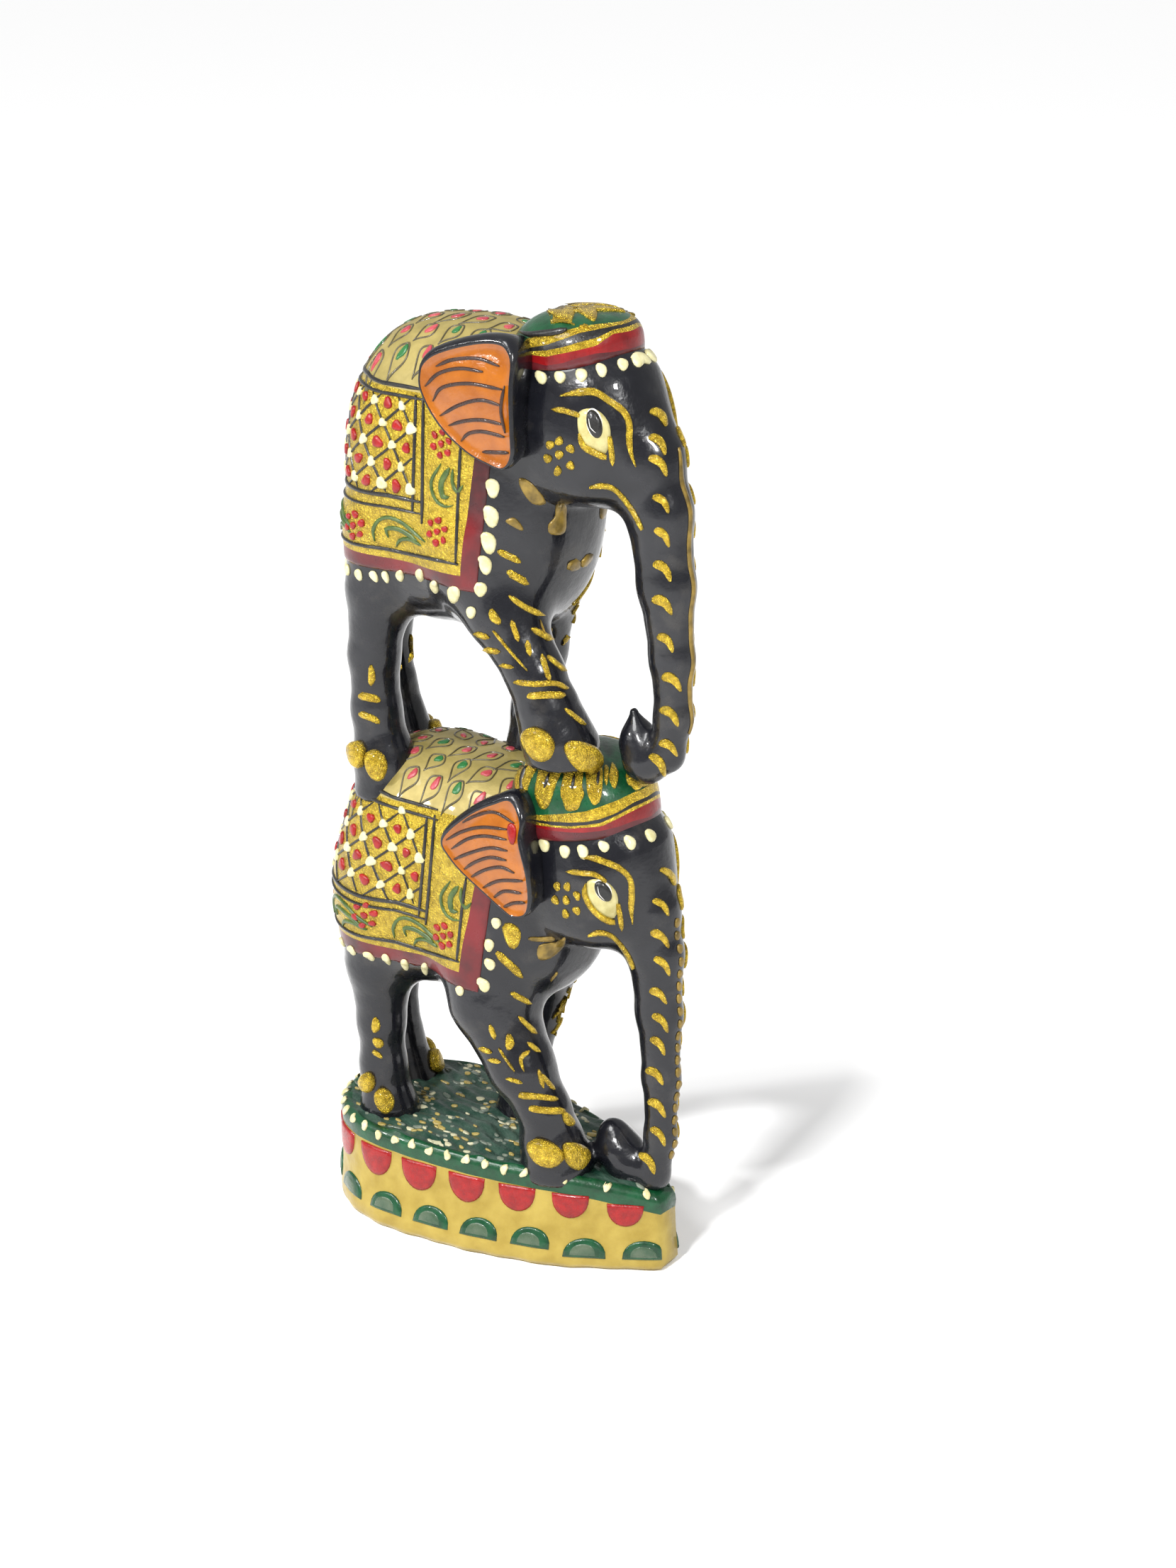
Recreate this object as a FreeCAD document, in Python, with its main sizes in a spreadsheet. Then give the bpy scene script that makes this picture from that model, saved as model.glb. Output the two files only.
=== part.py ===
import FreeCAD, Part
import os

# Two elephants carved as one wooden block: the upper one stands on the back and
# the cap of the lower one, which stands on a leaf-shaped plinth.
# Millimetres. +Z is up, the elephants face +X, their right side is -Y.
# The origin is the middle of the plinth underside.

PLINTH = {
    "plinth_rear_radius": 16.4,
    "plinth_rear_centre": -15.6,
    "plinth_side_radius": 84.0,
    "plinth_tip_x": 32.0,
    "plinth_height": 14.8,
    "plinth_top_slope": 2.0,
}

# Torso cross-sections: x, bottom z, top z, half width.
TORSO = {
    "lower": [
        (-31.4, 54.0, 63.0, 3.5),
        (-29.6, 47.0, 71.0, 8.8),
        (-25.5, 42.5, 75.5, 12.0),
        (-18.0, 41.0, 78.0, 13.5),
        (-8.0, 41.0, 79.0, 14.0),
        (2.0, 42.0, 78.6, 13.5),
        (9.0, 44.5, 76.5, 12.0),
        (14.0, 48.0, 71.0, 9.0),
        (16.5, 53.0, 65.0, 4.5),
    ],
    "upper": [
        (-27.6, 118.0, 130.0, 4.5),
        (-26.0, 109.5, 138.0, 8.8),
        (-21.5, 104.5, 144.5, 12.0),
        (-14.5, 102.5, 148.0, 13.5),
        (-4.0, 103.0, 148.8, 13.9),
        (4.0, 104.5, 148.3, 13.3),
        (9.5, 107.5, 144.5, 11.6),
        (13.5, 112.5, 136.0, 8.2),
        (15.6, 118.0, 129.0, 4.2),
    ],
}

# Leg cross-sections from the shoulder or hip down: x, y, z, radius.
LEGS = {
    "lower": {
        "front_right_leg": [
            (0.5, -7.2, 52.0, 7.4),
            (4.4, -7.8, 42.0, 6.4),
            (10.2, -8.0, 31.5, 4.9),
            (14.0, -7.6, 22.0, 4.3),
            (15.6, -6.6, 11.0, 5.3),
        ],
        "front_left_leg": [
            (3.5, 7.0, 52.0, 6.0),
            (3.0, 7.4, 42.0, 4.7),
            (0.0, 7.4, 31.5, 3.8),
            (-2.0, 7.0, 22.0, 3.7),
            (-2.4, 6.6, 11.0, 4.9),
        ],
        "hind_right_leg": [
            (-18.5, -7.4, 52.0, 6.4),
            (-19.4, -8.2, 42.0, 4.8),
            (-20.2, -8.4, 31.5, 3.8),
            (-20.2, -8.2, 22.0, 3.8),
            (-19.2, -7.8, 11.0, 5.0),
        ],
        "hind_left_leg": [
            (-21.0, 6.4, 52.0, 6.0),
            (-25.6, 6.2, 42.0, 4.4),
            (-27.8, 5.8, 31.5, 3.5),
            (-27.6, 5.6, 22.0, 3.5),
            (-26.4, 5.6, 11.0, 4.6),
        ],
    },
    "upper": {
        "front_right_leg": [
            (0.0, -7.4, 116.0, 7.8),
            (4.0, -8.0, 106.5, 6.8),
            (11.0, -8.0, 97.0, 5.2),
            (15.6, -7.6, 90.0, 5.0),
            (18.2, -7.2, 81.5, 6.0),
        ],
        "front_left_leg": [
            (4.5, 7.4, 116.0, 6.2),
            (4.5, 7.8, 107.0, 5.0),
            (2.2, 7.6, 96.0, 4.0),
            (0.6, 7.2, 86.0, 3.9),
            (0.0, 6.8, 71.0, 5.0),
        ],
        "hind_right_leg": [
            (-17.0, -7.4, 116.0, 6.8),
            (-18.6, -8.2, 105.0, 5.0),
            (-19.6, -8.4, 93.0, 3.9),
            (-19.4, -8.2, 83.0, 3.9),
            (-18.4, -7.6, 70.0, 5.2),
        ],
        "hind_left_leg": [
            (-18.0, 6.6, 116.0, 6.4),
            (-23.2, 6.4, 105.0, 4.4),
            (-26.2, 5.8, 93.0, 3.5),
            (-26.2, 5.6, 83.0, 3.5),
            (-25.0, 5.6, 66.0, 4.6),
        ],
    },
}

# Carved toenails in front of each foot: height of their centres.
TOE_LEVEL = {
    "lower": {"front_right_leg": 16.4, "front_left_leg": 16.8,
              "hind_right_leg": 17.6, "hind_left_leg": 17.8},
    "upper": {"front_right_leg": 85.4, "front_left_leg": 78.6,
              "hind_right_leg": 78.0, "hind_left_leg": 77.6},
}

TOES = {
    "toe_radius_long": 2.8,
    "toe_radius_wide": 2.5,
    "toe_radius_high": 2.3,
    "toe_reach": 3.6,
    "toe_spread_angle": 38.0,
}

# Trunk cross-sections from the brow down: x, z, half depth, half width.
TRUNK = {
    "lower": [
        (23.0, 70.0, 4.6, 4.4),
        (26.6, 63.0, 5.2, 4.6),
        (28.2, 54.0, 4.7, 4.0),
        (28.9, 44.0, 3.9, 3.3),
        (29.6, 33.0, 3.1, 2.7),
        (29.6, 23.0, 2.6, 2.3),
        (28.8, 12.0, 2.5, 2.3),
    ],
    "upper": [
        (22.5, 143.0, 4.6, 4.4),
        (27.0, 134.0, 5.5, 5.0),
        (29.2, 125.0, 5.1, 4.3),
        (30.2, 113.0, 4.1, 3.4),
        (31.1, 102.0, 3.3, 2.8),
        (31.5, 93.0, 2.9, 2.5),
        (30.6, 86.0, 2.7, 2.4),
    ],
}

# Ear cross-sections from the top down: x, y of the right ear, z, half length, half thickness.
EAR = {
    "lower": [
        (6.6, -10.6, 80.2, 3.2, 1.4),
        (5.8, -11.2, 78.2, 6.8, 2.4),
        (5.4, -11.8, 73.5, 8.0, 3.0),
        (7.2, -12.4, 68.5, 6.9, 3.0),
        (10.2, -12.2, 63.6, 4.5, 2.8),
        (12.4, -11.4, 60.6, 2.3, 1.8),
    ],
    "upper": [
        (6.0, -10.6, 149.0, 3.4, 1.4),
        (5.4, -11.2, 147.0, 6.9, 2.4),
        (5.2, -11.8, 142.5, 8.0, 3.0),
        (6.6, -12.4, 138.0, 6.9, 3.0),
        (9.0, -12.2, 133.2, 4.5, 2.8),
        (10.9, -11.4, 130.2, 2.2, 1.8),
    ],
}

# Tail cross-sections from the rump down: x, z, half depth, half width.
TAIL = {
    "lower": [
        (-27.8, 71.0, 1.4, 1.2),
        (-30.4, 63.0, 1.5, 1.3),
        (-30.8, 55.0, 1.5, 1.3),
        (-29.2, 48.0, 1.6, 1.5),
        (-26.8, 43.5, 1.3, 1.2),
    ],
    "upper": [
        (-23.6, 139.0, 1.5, 1.3),
        (-26.6, 131.0, 1.6, 1.4),
        (-27.2, 122.0, 1.6, 1.4),
        (-25.9, 114.0, 1.7, 1.6),
        (-23.6, 108.0, 1.4, 1.3),
    ],
}

# Egg-shaped masses: centre x, centre z, radii along x, y and z.
MASSES = {
    "lower_skull": (16.0, 66.5, 13.6, 10.4, 12.2),
    "lower_dome": (15.4, 74.2, 13.8, 11.0, 10.4),
    "lower_tip": (22.6, 16.6, 5.2, 2.8, 5.8),
    "upper_skull": (15.4, 137.0, 13.2, 10.3, 13.4),
    "upper_dome": (13.6, 146.0, 13.2, 10.3, 6.4),
    "upper_tip": (25.4, 86.4, 4.9, 2.8, 6.2),
}

# Height of each cap's lower edge.
CAP_RIM = {"lower_cap_rim": 71.5, "upper_cap_rim": 144.4}

DOC = FreeCAD.newDocument("ElephantStack")
SHEET = DOC.addObject("Spreadsheet::Sheet", "Sizes")


def fill_sheet():
    """Write every size in the sheet, one row per named value."""
    rows = list(PLINTH.items()) + list(TOES.items()) + list(CAP_RIM.items())
    for table in (TORSO, TRUNK, EAR, TAIL):
        stem = {id(TORSO): "torso", id(TRUNK): "trunk", id(EAR): "ear", id(TAIL): "tail"}[id(table)]
        columns = SECTION_COLUMNS[stem]
        for tier, sections in table.items():
            rows += section_rows(f"{tier}_{stem}", columns, sections)
    for tier, legs in LEGS.items():
        for leg, sections in legs.items():
            rows += section_rows(f"{tier}_{leg}", SECTION_COLUMNS["leg"], sections)
            rows.append((f"{tier}_{leg}_toe_level", TOE_LEVEL[tier][leg]))
    for mass, values in MASSES.items():
        rows += [(f"{mass}_{column}", value) for column, value in zip(MASS_COLUMNS, values)]
    for row, (alias, value) in enumerate(rows, start=1):
        SHEET.set(f"A{row}", alias)
        SHEET.set(f"B{row}", str(value))
        SHEET.setAlias(f"B{row}", alias)


SECTION_COLUMNS = {
    "torso": ("along", "low", "high", "half_width"),
    "leg": ("along", "across", "level", "radius"),
    "trunk": ("along", "level", "half_depth", "half_width"),
    "ear": ("along", "across", "level", "half_length", "half_thickness"),
    "tail": ("along", "level", "half_depth", "half_width"),
}
MASS_COLUMNS = ("along", "level", "radius_x", "radius_y", "radius_z")


def section_rows(stem, columns, sections):
    """Named values for one table of cross-sections."""
    rows = []
    for index, section in enumerate(sections, start=1):
        rows += [(f"{stem}_cut{index}_{column}", value) for column, value in zip(columns, section)]
    return rows


def bind(feature, **expressions):
    """Tie properties of a feature to the sheet; __ stands for a dot in a property path."""
    for path, expression in expressions.items():
        feature.setExpression(path.replace("__", "."), expression)


def size(alias):
    return f"Sizes.{alias}"


def add(kind, name, **expressions):
    feature = DOC.addObject(kind, name)
    bind(feature, **expressions)
    return feature


def cut_away(name, base, tools):
    """Take the tools away from the base, one after the other."""
    for index, tool in enumerate(tools, start=1):
        last = index == len(tools)
        cut = DOC.addObject("Part::Cut", name if last else f"{name}_less{index}")
        cut.Base = base
        cut.Tool = tool
        base = cut
    return base


def fuse(name, shapes):
    union = DOC.addObject("Part::MultiFuse", name)
    union.Shapes = shapes
    return union


def loft(name, sections):
    skin = DOC.addObject("Part::Loft", name)
    skin.Sections = sections
    skin.Solid = True
    skin.Ruled = False
    return skin


def plinth():
    """Leaf plan: a round rear, two long side arcs tangent to it and a blunt tip in front."""
    rear = size("plinth_rear_radius")
    centre = size("plinth_rear_centre")
    side = size("plinth_side_radius")
    height = size("plinth_height") + " + 1"
    round_rear = add("Part::Cylinder", "plinth_rear", Radius=rear, Height=height,
                     Placement__Base__x=centre)
    arcs = []
    for name, sign in (("plinth_arc_left", "-"), ("plinth_arc_right", "")):
        arcs.append(add("Part::Cylinder", name, Radius=side, Height=height,
                        Placement__Base__x=centre,
                        Placement__Base__y=f"{sign}({side} - {rear})"))
    front = add("Part::Box", "plinth_front", Length=f"{size('plinth_tip_x')} - {centre}",
                Width=f"2 * {rear}", Height=height,
                Placement__Base__x=centre, Placement__Base__y=f"-{rear}")
    leaf = DOC.addObject("Part::MultiCommon", "plinth_leaf")
    leaf.Shapes = arcs + [front]
    blank = fuse("plinth_blank", [round_rear, leaf])
    above = add("Part::Box", "plinth_above", Length="100", Width="60", Height="20",
                Placement__Base__x="-50", Placement__Base__y="-30",
                Placement__Base__z=f"{size('plinth_height')} + 50 * sin({size('plinth_top_slope')})",
                Placement__Rotation__Angle=size("plinth_top_slope"))
    above.Placement.Rotation.Axis = FreeCAD.Vector(0, 1, 0)
    return cut_away("base_plinth", blank, [above])


def torso(tier):
    """Upright ellipses strung along the length of the body."""
    sections = []
    for index in range(1, len(TORSO[tier]) + 1):
        stem = size(f"{tier}_torso_cut{index}")
        ellipse = add("Part::Ellipse", f"{tier}_torso_cut{index}",
                      MajorRadius=f"({stem}_high - {stem}_low) / 2",
                      MinorRadius=f"{stem}_half_width")
        ellipse.Placement = FreeCAD.Placement(FreeCAD.Vector(), FreeCAD.Rotation(FreeCAD.Vector(0, 1, 0), 90))
        bind(ellipse, Placement__Base__x=f"{stem}_along",
             Placement__Base__z=f"({stem}_high + {stem}_low) / 2")
        sections.append(ellipse)
    return loft(f"{tier}_torso", sections)


def level_ellipses(stem_name, count, major, minor, across=None):
    """Level ellipses for lofts that run up and down."""
    sections = []
    for index in range(1, count + 1):
        stem = size(f"{stem_name}_cut{index}")
        ellipse = add("Part::Ellipse", f"{stem_name}_cut{index}",
                      MajorRadius=f"{stem}_{major}", MinorRadius=f"{stem}_{minor}",
                      Placement__Base__x=f"{stem}_along", Placement__Base__z=f"{stem}_level")
        if across:
            bind(ellipse, Placement__Base__y=across.format(stem))
        sections.append(ellipse)
    return sections


def ellipsoid(name, centre_x, centre_y, centre_z, radius_x, radius_y, radius_z):
    return add("Part::Ellipsoid", name, Radius2=radius_x, Radius3=radius_y, Radius1=radius_z,
               Placement__Base__x=centre_x, Placement__Base__y=centre_y,
               Placement__Base__z=centre_z)


def mass(name):
    stem = size(name)
    return ellipsoid(name, f"{stem}_along", "0", f"{stem}_level",
                     f"{stem}_radius_x", f"{stem}_radius_y", f"{stem}_radius_z")


def leg_blank(tier, leg):
    """Round sections from the hip down to a flared foot, with two toenails in front."""
    stem_name = f"{tier}_{leg}"
    sections = []
    for index in range(1, len(LEGS[tier][leg]) + 1):
        stem = size(f"{stem_name}_cut{index}")
        sections.append(add("Part::Circle", f"{stem_name}_cut{index}", Radius=f"{stem}_radius",
                            Placement__Base__x=f"{stem}_along",
                            Placement__Base__y=f"{stem}_across",
                            Placement__Base__z=f"{stem}_level"))
    shaft = loft(f"{stem_name}_shaft", sections)
    foot = size(f"{stem_name}_cut{len(LEGS[tier][leg])}")
    outward = "-" if leg.endswith("right_leg") else ""
    toes = []
    for name, turn in (("outer", "1"), ("front", "0")):
        angle = f"{turn} * {size('toe_spread_angle')} * 1.6"
        toes.append(ellipsoid(
            f"{stem_name}_toe_{name}",
            f"{foot}_along + {size('toe_reach')} * cos({angle})",
            f"{foot}_across + {outward}1 * {size('toe_reach')} * sin({angle})",
            size(f"{stem_name}_toe_level"),
            size("toe_radius_long"), size("toe_radius_wide"), size("toe_radius_high")))
    return fuse(f"{stem_name}_blank", [shaft] + toes)


def ear_blank(tier, side):
    """A teardrop slab, broad at the top and drawn to a point below."""
    sign = "" if side == "right" else "-"
    sections = []
    for index in range(1, len(EAR[tier]) + 1):
        stem = size(f"{tier}_ear_cut{index}")
        sections.append(add("Part::Ellipse", f"{tier}_{side}_ear_cut{index}",
                            MajorRadius=f"{stem}_half_length",
                            MinorRadius=f"{stem}_half_thickness",
                            Placement__Base__x=f"{stem}_along",
                            Placement__Base__y=f"{sign}{stem}_across",
                            Placement__Base__z=f"{stem}_level"))
    return loft(f"{tier}_{side}_ear_blank", sections)


def trunk_blank(tier):
    """A tapering trunk from the brow down."""
    sections = level_ellipses(f"{tier}_trunk", len(TRUNK[tier]), "half_depth", "half_width")
    return loft(f"{tier}_trunk_shaft", sections)


def cap_blank(tier):
    """A dome cut off level at its rim."""
    below = add("Part::Box", f"{tier}_cap_below", Length="100", Width="60", Height="40",
                Placement__Base__x="-50", Placement__Base__y="-30",
                Placement__Base__z=f"{size(f'{tier}_cap_rim')} - 40")
    return cut_away(f"{tier}_cap_blank", mass(f"{tier}_dome"), [below])


def tail_blank(tier):
    sections = level_ellipses(f"{tier}_tail", len(TAIL[tier]), "half_depth", "half_width")
    return loft(f"{tier}_tail_blank", sections)


def elephant(tier, ground):
    """All features of one elephant, each cut to meet its neighbours; ground is what it stands on."""
    body = torso(tier)
    skull = mass(f"{tier}_skull")
    dome = cap_blank(tier)
    shaft = trunk_blank(tier)
    nodes = {
        f"{tier}_body": cut_away(f"{tier}_body", body, ground) if ground else body,
        f"{tier}_head": cut_away(f"{tier}_head", skull, [body, dome]),
        f"{tier}_cap": cut_away(f"{tier}_cap", dome, [body]),
        f"{tier}_trunk": cut_away(f"{tier}_trunk", shaft, [body, skull, dome] + ground),
        f"{tier}_trunk_tip": cut_away(f"{tier}_trunk_tip", mass(f"{tier}_tip"), [shaft] + ground),
        f"{tier}_tail": cut_away(f"{tier}_tail", tail_blank(tier), [body]),
    }
    for side in ("left", "right"):
        nodes[f"{tier}_{side}_ear"] = cut_away(f"{tier}_{side}_ear", ear_blank(tier, side),
                                               [body, skull, dome])
    for leg in LEGS[tier]:
        nodes[f"{tier}_{leg}"] = cut_away(f"{tier}_{leg}", leg_blank(tier, leg), [body] + ground)
    return nodes, [body, skull, dome]


def check_document():
    """Stop if any feature failed to compute."""
    for feature in DOC.Objects:
        for word in feature.State:
            if word in ("Invalid", "Error"):
                raise RuntimeError(f"{feature.Name} is {word}")


def write_parts(nodes):
    """Write each sub-part as its own STEP file."""
    os.makedirs("parts", exist_ok=True)
    for node, feature in nodes.items():
        feature.Label = node
        if feature.Shape.isNull() or not feature.Shape.isValid():
            raise RuntimeError(f"{node} has no valid shape")
        if len(feature.Shape.Solids) != 1:
            raise RuntimeError(f"{node} has {len(feature.Shape.Solids)} solids")
    for node, feature in nodes.items():
        feature.Shape.exportStep(f"parts/{node}.step")


fill_sheet()
DOC.recompute()
base = plinth()
lower_nodes, lower_masses = elephant("lower", [base])
upper_nodes, _ = elephant("upper", lower_masses)
all_nodes = {"base_plinth": base, **lower_nodes, **upper_nodes}
DOC.recompute()
check_document()
write_parts(all_nodes)
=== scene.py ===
import math
import random

import bmesh
import bpy
import numpy as np
from mathutils import Matrix, Vector
from mathutils.bvhtree import BVHTree


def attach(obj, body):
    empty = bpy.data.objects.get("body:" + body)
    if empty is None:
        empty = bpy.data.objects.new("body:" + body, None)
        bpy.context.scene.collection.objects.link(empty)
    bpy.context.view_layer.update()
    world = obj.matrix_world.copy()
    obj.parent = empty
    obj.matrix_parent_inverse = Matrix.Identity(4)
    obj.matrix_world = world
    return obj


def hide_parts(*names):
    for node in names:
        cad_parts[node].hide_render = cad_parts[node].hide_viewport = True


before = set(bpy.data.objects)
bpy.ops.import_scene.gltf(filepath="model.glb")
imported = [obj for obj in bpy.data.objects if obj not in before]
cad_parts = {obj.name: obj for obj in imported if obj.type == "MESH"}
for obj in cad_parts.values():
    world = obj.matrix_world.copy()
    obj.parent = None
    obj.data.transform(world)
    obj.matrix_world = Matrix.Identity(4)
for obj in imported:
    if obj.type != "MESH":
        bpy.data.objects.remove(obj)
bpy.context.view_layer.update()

# A stack of two carved elephants on a leaf-shaped plinth, painted in raised enamel.
# Shapes are written in millimetres and scaled to metres when a mesh is made.
# The elephants face +X, their right side is -Y.

MM = 0.001
CELL = 0.55  # grid step of the carved skins
RANDOM = random.Random(7)


# ---------------------------------------------------------------- materials

def new_material(name):
    material = bpy.data.materials.new(name)
    material.use_nodes = True
    nodes = material.node_tree.nodes
    return material, nodes, material.node_tree.links, nodes["Principled BSDF"]


def noise_node(nodes, links, scale, detail=4.0, roughness=0.55):
    """Noise in the object's own millimetres."""
    place = nodes.new("ShaderNodeTexCoord")
    noise = nodes.new("ShaderNodeTexNoise")
    noise.inputs["Scale"].default_value = scale / MM
    noise.inputs["Detail"].default_value = detail
    noise.inputs["Roughness"].default_value = roughness
    links.new(place.outputs["Object"], noise.inputs["Vector"])
    return noise


def ramp_node(nodes, links, source, stops):
    ramp = nodes.new("ShaderNodeValToRGB")
    ramp.color_ramp.elements[0].position = stops[0][0]
    ramp.color_ramp.elements[0].color = (*stops[0][1], 1.0)
    ramp.color_ramp.elements[1].position = stops[-1][0]
    ramp.color_ramp.elements[1].color = (*stops[-1][1], 1.0)
    for position, colour in stops[1:-1]:
        ramp.color_ramp.elements.new(position).color = (*colour, 1.0)
    links.new(source, ramp.inputs["Fac"])
    return ramp


def bump_node(nodes, links, source, bsdf, strength, distance):
    bump = nodes.new("ShaderNodeBump")
    bump.inputs["Strength"].default_value = strength
    bump.inputs["Distance"].default_value = distance * MM
    links.new(source, bump.inputs["Height"])
    links.new(bump.outputs["Normal"], bsdf.inputs["Normal"])


def uneven_gloss(nodes, links, bsdf, gloss, noise_range, rough):
    """Roughness that follows a noise between two values."""
    spread = nodes.new("ShaderNodeMapRange")
    spread.inputs["From Min"].default_value = noise_range[0]
    spread.inputs["From Max"].default_value = noise_range[1]
    spread.inputs["To Min"].default_value = rough[0]
    spread.inputs["To Max"].default_value = rough[1]
    links.new(gloss.outputs["Fac"], spread.inputs["Value"])
    links.new(spread.outputs["Result"], bsdf.inputs["Roughness"])


def varnish(bsdf, specular, coat, coat_roughness):
    bsdf.inputs["Specular IOR Level"].default_value = specular
    bsdf.inputs["Coat Weight"].default_value = coat
    bsdf.inputs["Coat Roughness"].default_value = coat_roughness


def enamel(name, dark, light, rough=(0.22, 0.42), grain=0.35, bump=(0.25, 0.25), metallic=0.0,
           coat=0.25):
    """Brushed enamel paint: two tones in soft patches, uneven gloss and a brushy surface."""
    material, nodes, links, bsdf = new_material(name)
    tone = noise_node(nodes, links, grain)
    colour = ramp_node(nodes, links, tone.outputs["Fac"], [(0.34, dark), (0.66, light)])
    links.new(colour.outputs["Color"], bsdf.inputs["Base Color"])
    gloss = noise_node(nodes, links, grain * 2.3)
    uneven_gloss(nodes, links, bsdf, gloss, (0.3, 0.7), rough)
    surface = noise_node(nodes, links, grain * 4.0, detail=3.0)
    bump_node(nodes, links, surface.outputs["Fac"], bsdf, *bump)
    bsdf.inputs["Metallic"].default_value = metallic
    varnish(bsdf, 0.28, coat, 0.05)
    return material


def black_enamel(name):
    """Blue-black gloss with dull dusty patches scattered by a noise."""
    material, nodes, links, bsdf = new_material(name)
    tone = noise_node(nodes, links, 0.16, detail=6.0, roughness=0.62)
    colour = ramp_node(nodes, links, tone.outputs["Fac"], [
        (0.30, (0.0030, 0.0032, 0.0050)), (0.56, (0.0062, 0.0065, 0.0088)),
        (0.76, (0.0260, 0.0240, 0.0220))])
    links.new(colour.outputs["Color"], bsdf.inputs["Base Color"])
    gloss = noise_node(nodes, links, 0.28, detail=5.0)
    uneven_gloss(nodes, links, bsdf, gloss, (0.35, 0.68), (0.13, 0.36))
    surface = noise_node(nodes, links, 0.50, detail=6.0)
    bump_node(nodes, links, surface.outputs["Fac"], bsdf, 0.38, 0.40)
    varnish(bsdf, 0.22, 0.40, 0.04)
    return material


def make_materials():
    return {
        "black": black_enamel("black_enamel"),
        "gold": enamel("gold_leaf_paint", (0.330, 0.215, 0.012), (0.640, 0.450, 0.040),
                       rough=(0.16, 0.32), grain=1.1, bump=(1.0, 0.50), metallic=0.85),
        "cloth": enamel("saddle_gold", (0.300, 0.205, 0.016), (0.480, 0.345, 0.034),
                        rough=(0.20, 0.38), grain=0.8, bump=(1.0, 0.40), metallic=0.75),
        "back": enamel("back_gold", (0.215, 0.172, 0.052), (0.300, 0.238, 0.076),
                       rough=(0.38, 0.58), grain=0.30, bump=(0.30, 0.20), metallic=0.2, coat=0.2),
        "red": enamel("red_enamel", (0.165, 0.002, 0.003), (0.250, 0.004, 0.004), grain=0.8),
        "crimson": enamel("crimson_band", (0.115, 0.002, 0.003), (0.200, 0.004, 0.005), grain=0.3),
        "maroon": enamel("maroon_band", (0.050, 0.007, 0.009), (0.101, 0.009, 0.012), grain=0.25),
        "green": enamel("green_enamel", (0.002, 0.028, 0.009), (0.004, 0.058, 0.020), grain=0.4),
        "olive": enamel("leaf_green", (0.025, 0.054, 0.011), (0.058, 0.094, 0.018), grain=0.6),
        "cream": enamel("cream_enamel", (0.430, 0.390, 0.190), (0.570, 0.530, 0.320), grain=0.7),
        "ivory": enamel("eye_ivory", (0.300, 0.260, 0.090), (0.430, 0.385, 0.175), grain=0.5),
        "orange": enamel("ear_orange", (0.215, 0.056, 0.001), (0.300, 0.086, 0.003),
                         rough=(0.14, 0.28), grain=0.22, bump=(0.30, 0.45), coat=0.5),
        "brown": enamel("ear_stripe", (0.016, 0.006, 0.004), (0.032, 0.012, 0.007), grain=0.8),
        "line": enamel("line_black", (0.006, 0.006, 0.006), (0.014, 0.013, 0.012), grain=0.8),
        "fineline": enamel("fine_line", (0.043, 0.036, 0.018), (0.079, 0.065, 0.032), grain=0.8),
        "magenta": enamel("rose_enamel", (0.259, 0.022, 0.036), (0.360, 0.058, 0.065), grain=0.6),
        # A darker, duller copy of the gold paint: painted shade for gold marks that lie in shade, under the
        # ears, on the inner faces of the far legs and down the front of the trunk.
        "shaded_gold": enamel("shaded_gold_paint", (0.090, 0.060, 0.012), (0.230, 0.150, 0.026), rough=(0.30, 0.50),
                       grain=0.5, metallic=0.35),
        "band": enamel("cloth_band", (0.025, 0.004, 0.005), (0.120, 0.005, 0.007), grain=0.12),
        "wall": enamel("plinth_gold", (0.265, 0.185, 0.026), (0.350, 0.258, 0.048), rough=(0.32, 0.50),
                       grain=0.25, bump=(0.35, 0.25), metallic=0.3),
        "moss": enamel("plinth_moss", (0.007, 0.030, 0.019), (0.036, 0.068, 0.049), rough=(0.30, 0.55),
                       grain=0.35, bump=(0.5, 0.5)),
        "fade": enamel("faded_green", (0.029, 0.061, 0.032), (0.072, 0.097, 0.061), grain=0.4),
        "leafdrop": enamel("leaf_drop", (0.011, 0.086, 0.022), (0.025, 0.130, 0.036), grain=0.4),
        "fleck_cream": enamel("fleck_cream", (0.331, 0.317, 0.202), (0.432, 0.410, 0.274), grain=0.5),
        "fleck_gold": enamel("fleck_gold", (0.202, 0.151, 0.040), (0.317, 0.245, 0.072), grain=0.5),
        "fleck_grey": enamel("fleck_grey", (0.072, 0.097, 0.076), (0.137, 0.155, 0.119), grain=0.5),
        "white": enamel("white_enamel", (0.680, 0.680, 0.629), (0.765, 0.765, 0.731), grain=0.8),
    }


MATERIALS = {}


# ---------------------------------------------------------------- meshes

def ring_quads(first, count):
    """Quads between a ring of points and the next ring, numbered from first."""
    quads = []
    for k in range(count):
        a = first + k
        b = first + (k + 1) % count
        quads.append((a, b, b + count, a + count))
    return quads


def make_object(name, vertices, faces, materials, face_slots=None):
    """A smooth mesh object from millimetre points."""
    mesh = bpy.data.meshes.new(name)
    mesh.from_pydata([tuple(c * MM for c in point) for point in vertices], [], faces)
    for material in materials:
        mesh.materials.append(MATERIALS[material])
    if face_slots is not None:
        mesh.polygons.foreach_set("material_index", face_slots)
    mesh.polygons.foreach_set("use_smooth", [True] * len(mesh.polygons))
    mesh.update()
    piece = bpy.data.objects.new(name, mesh)
    bpy.context.scene.collection.objects.link(piece)
    return piece


def face_outwards(piece):
    """Turn every face of a closed piece to point out."""
    shell = bmesh.new()
    shell.from_mesh(piece.data)
    bmesh.ops.recalc_face_normals(shell, faces=shell.faces)
    shell.to_mesh(piece.data)
    shell.free()


# ---------------------------------------------------------------- carved bodies

def egg(points, centre, radii, power=2.0):
    """Rough distance to an egg shape; a power above two makes it boxier."""
    scaled = np.abs((points - np.array(centre)) / np.array(radii))
    return (np.sum(scaled ** power, axis=1) ** (1.0 / power) - 1.0) * min(radii)


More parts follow.
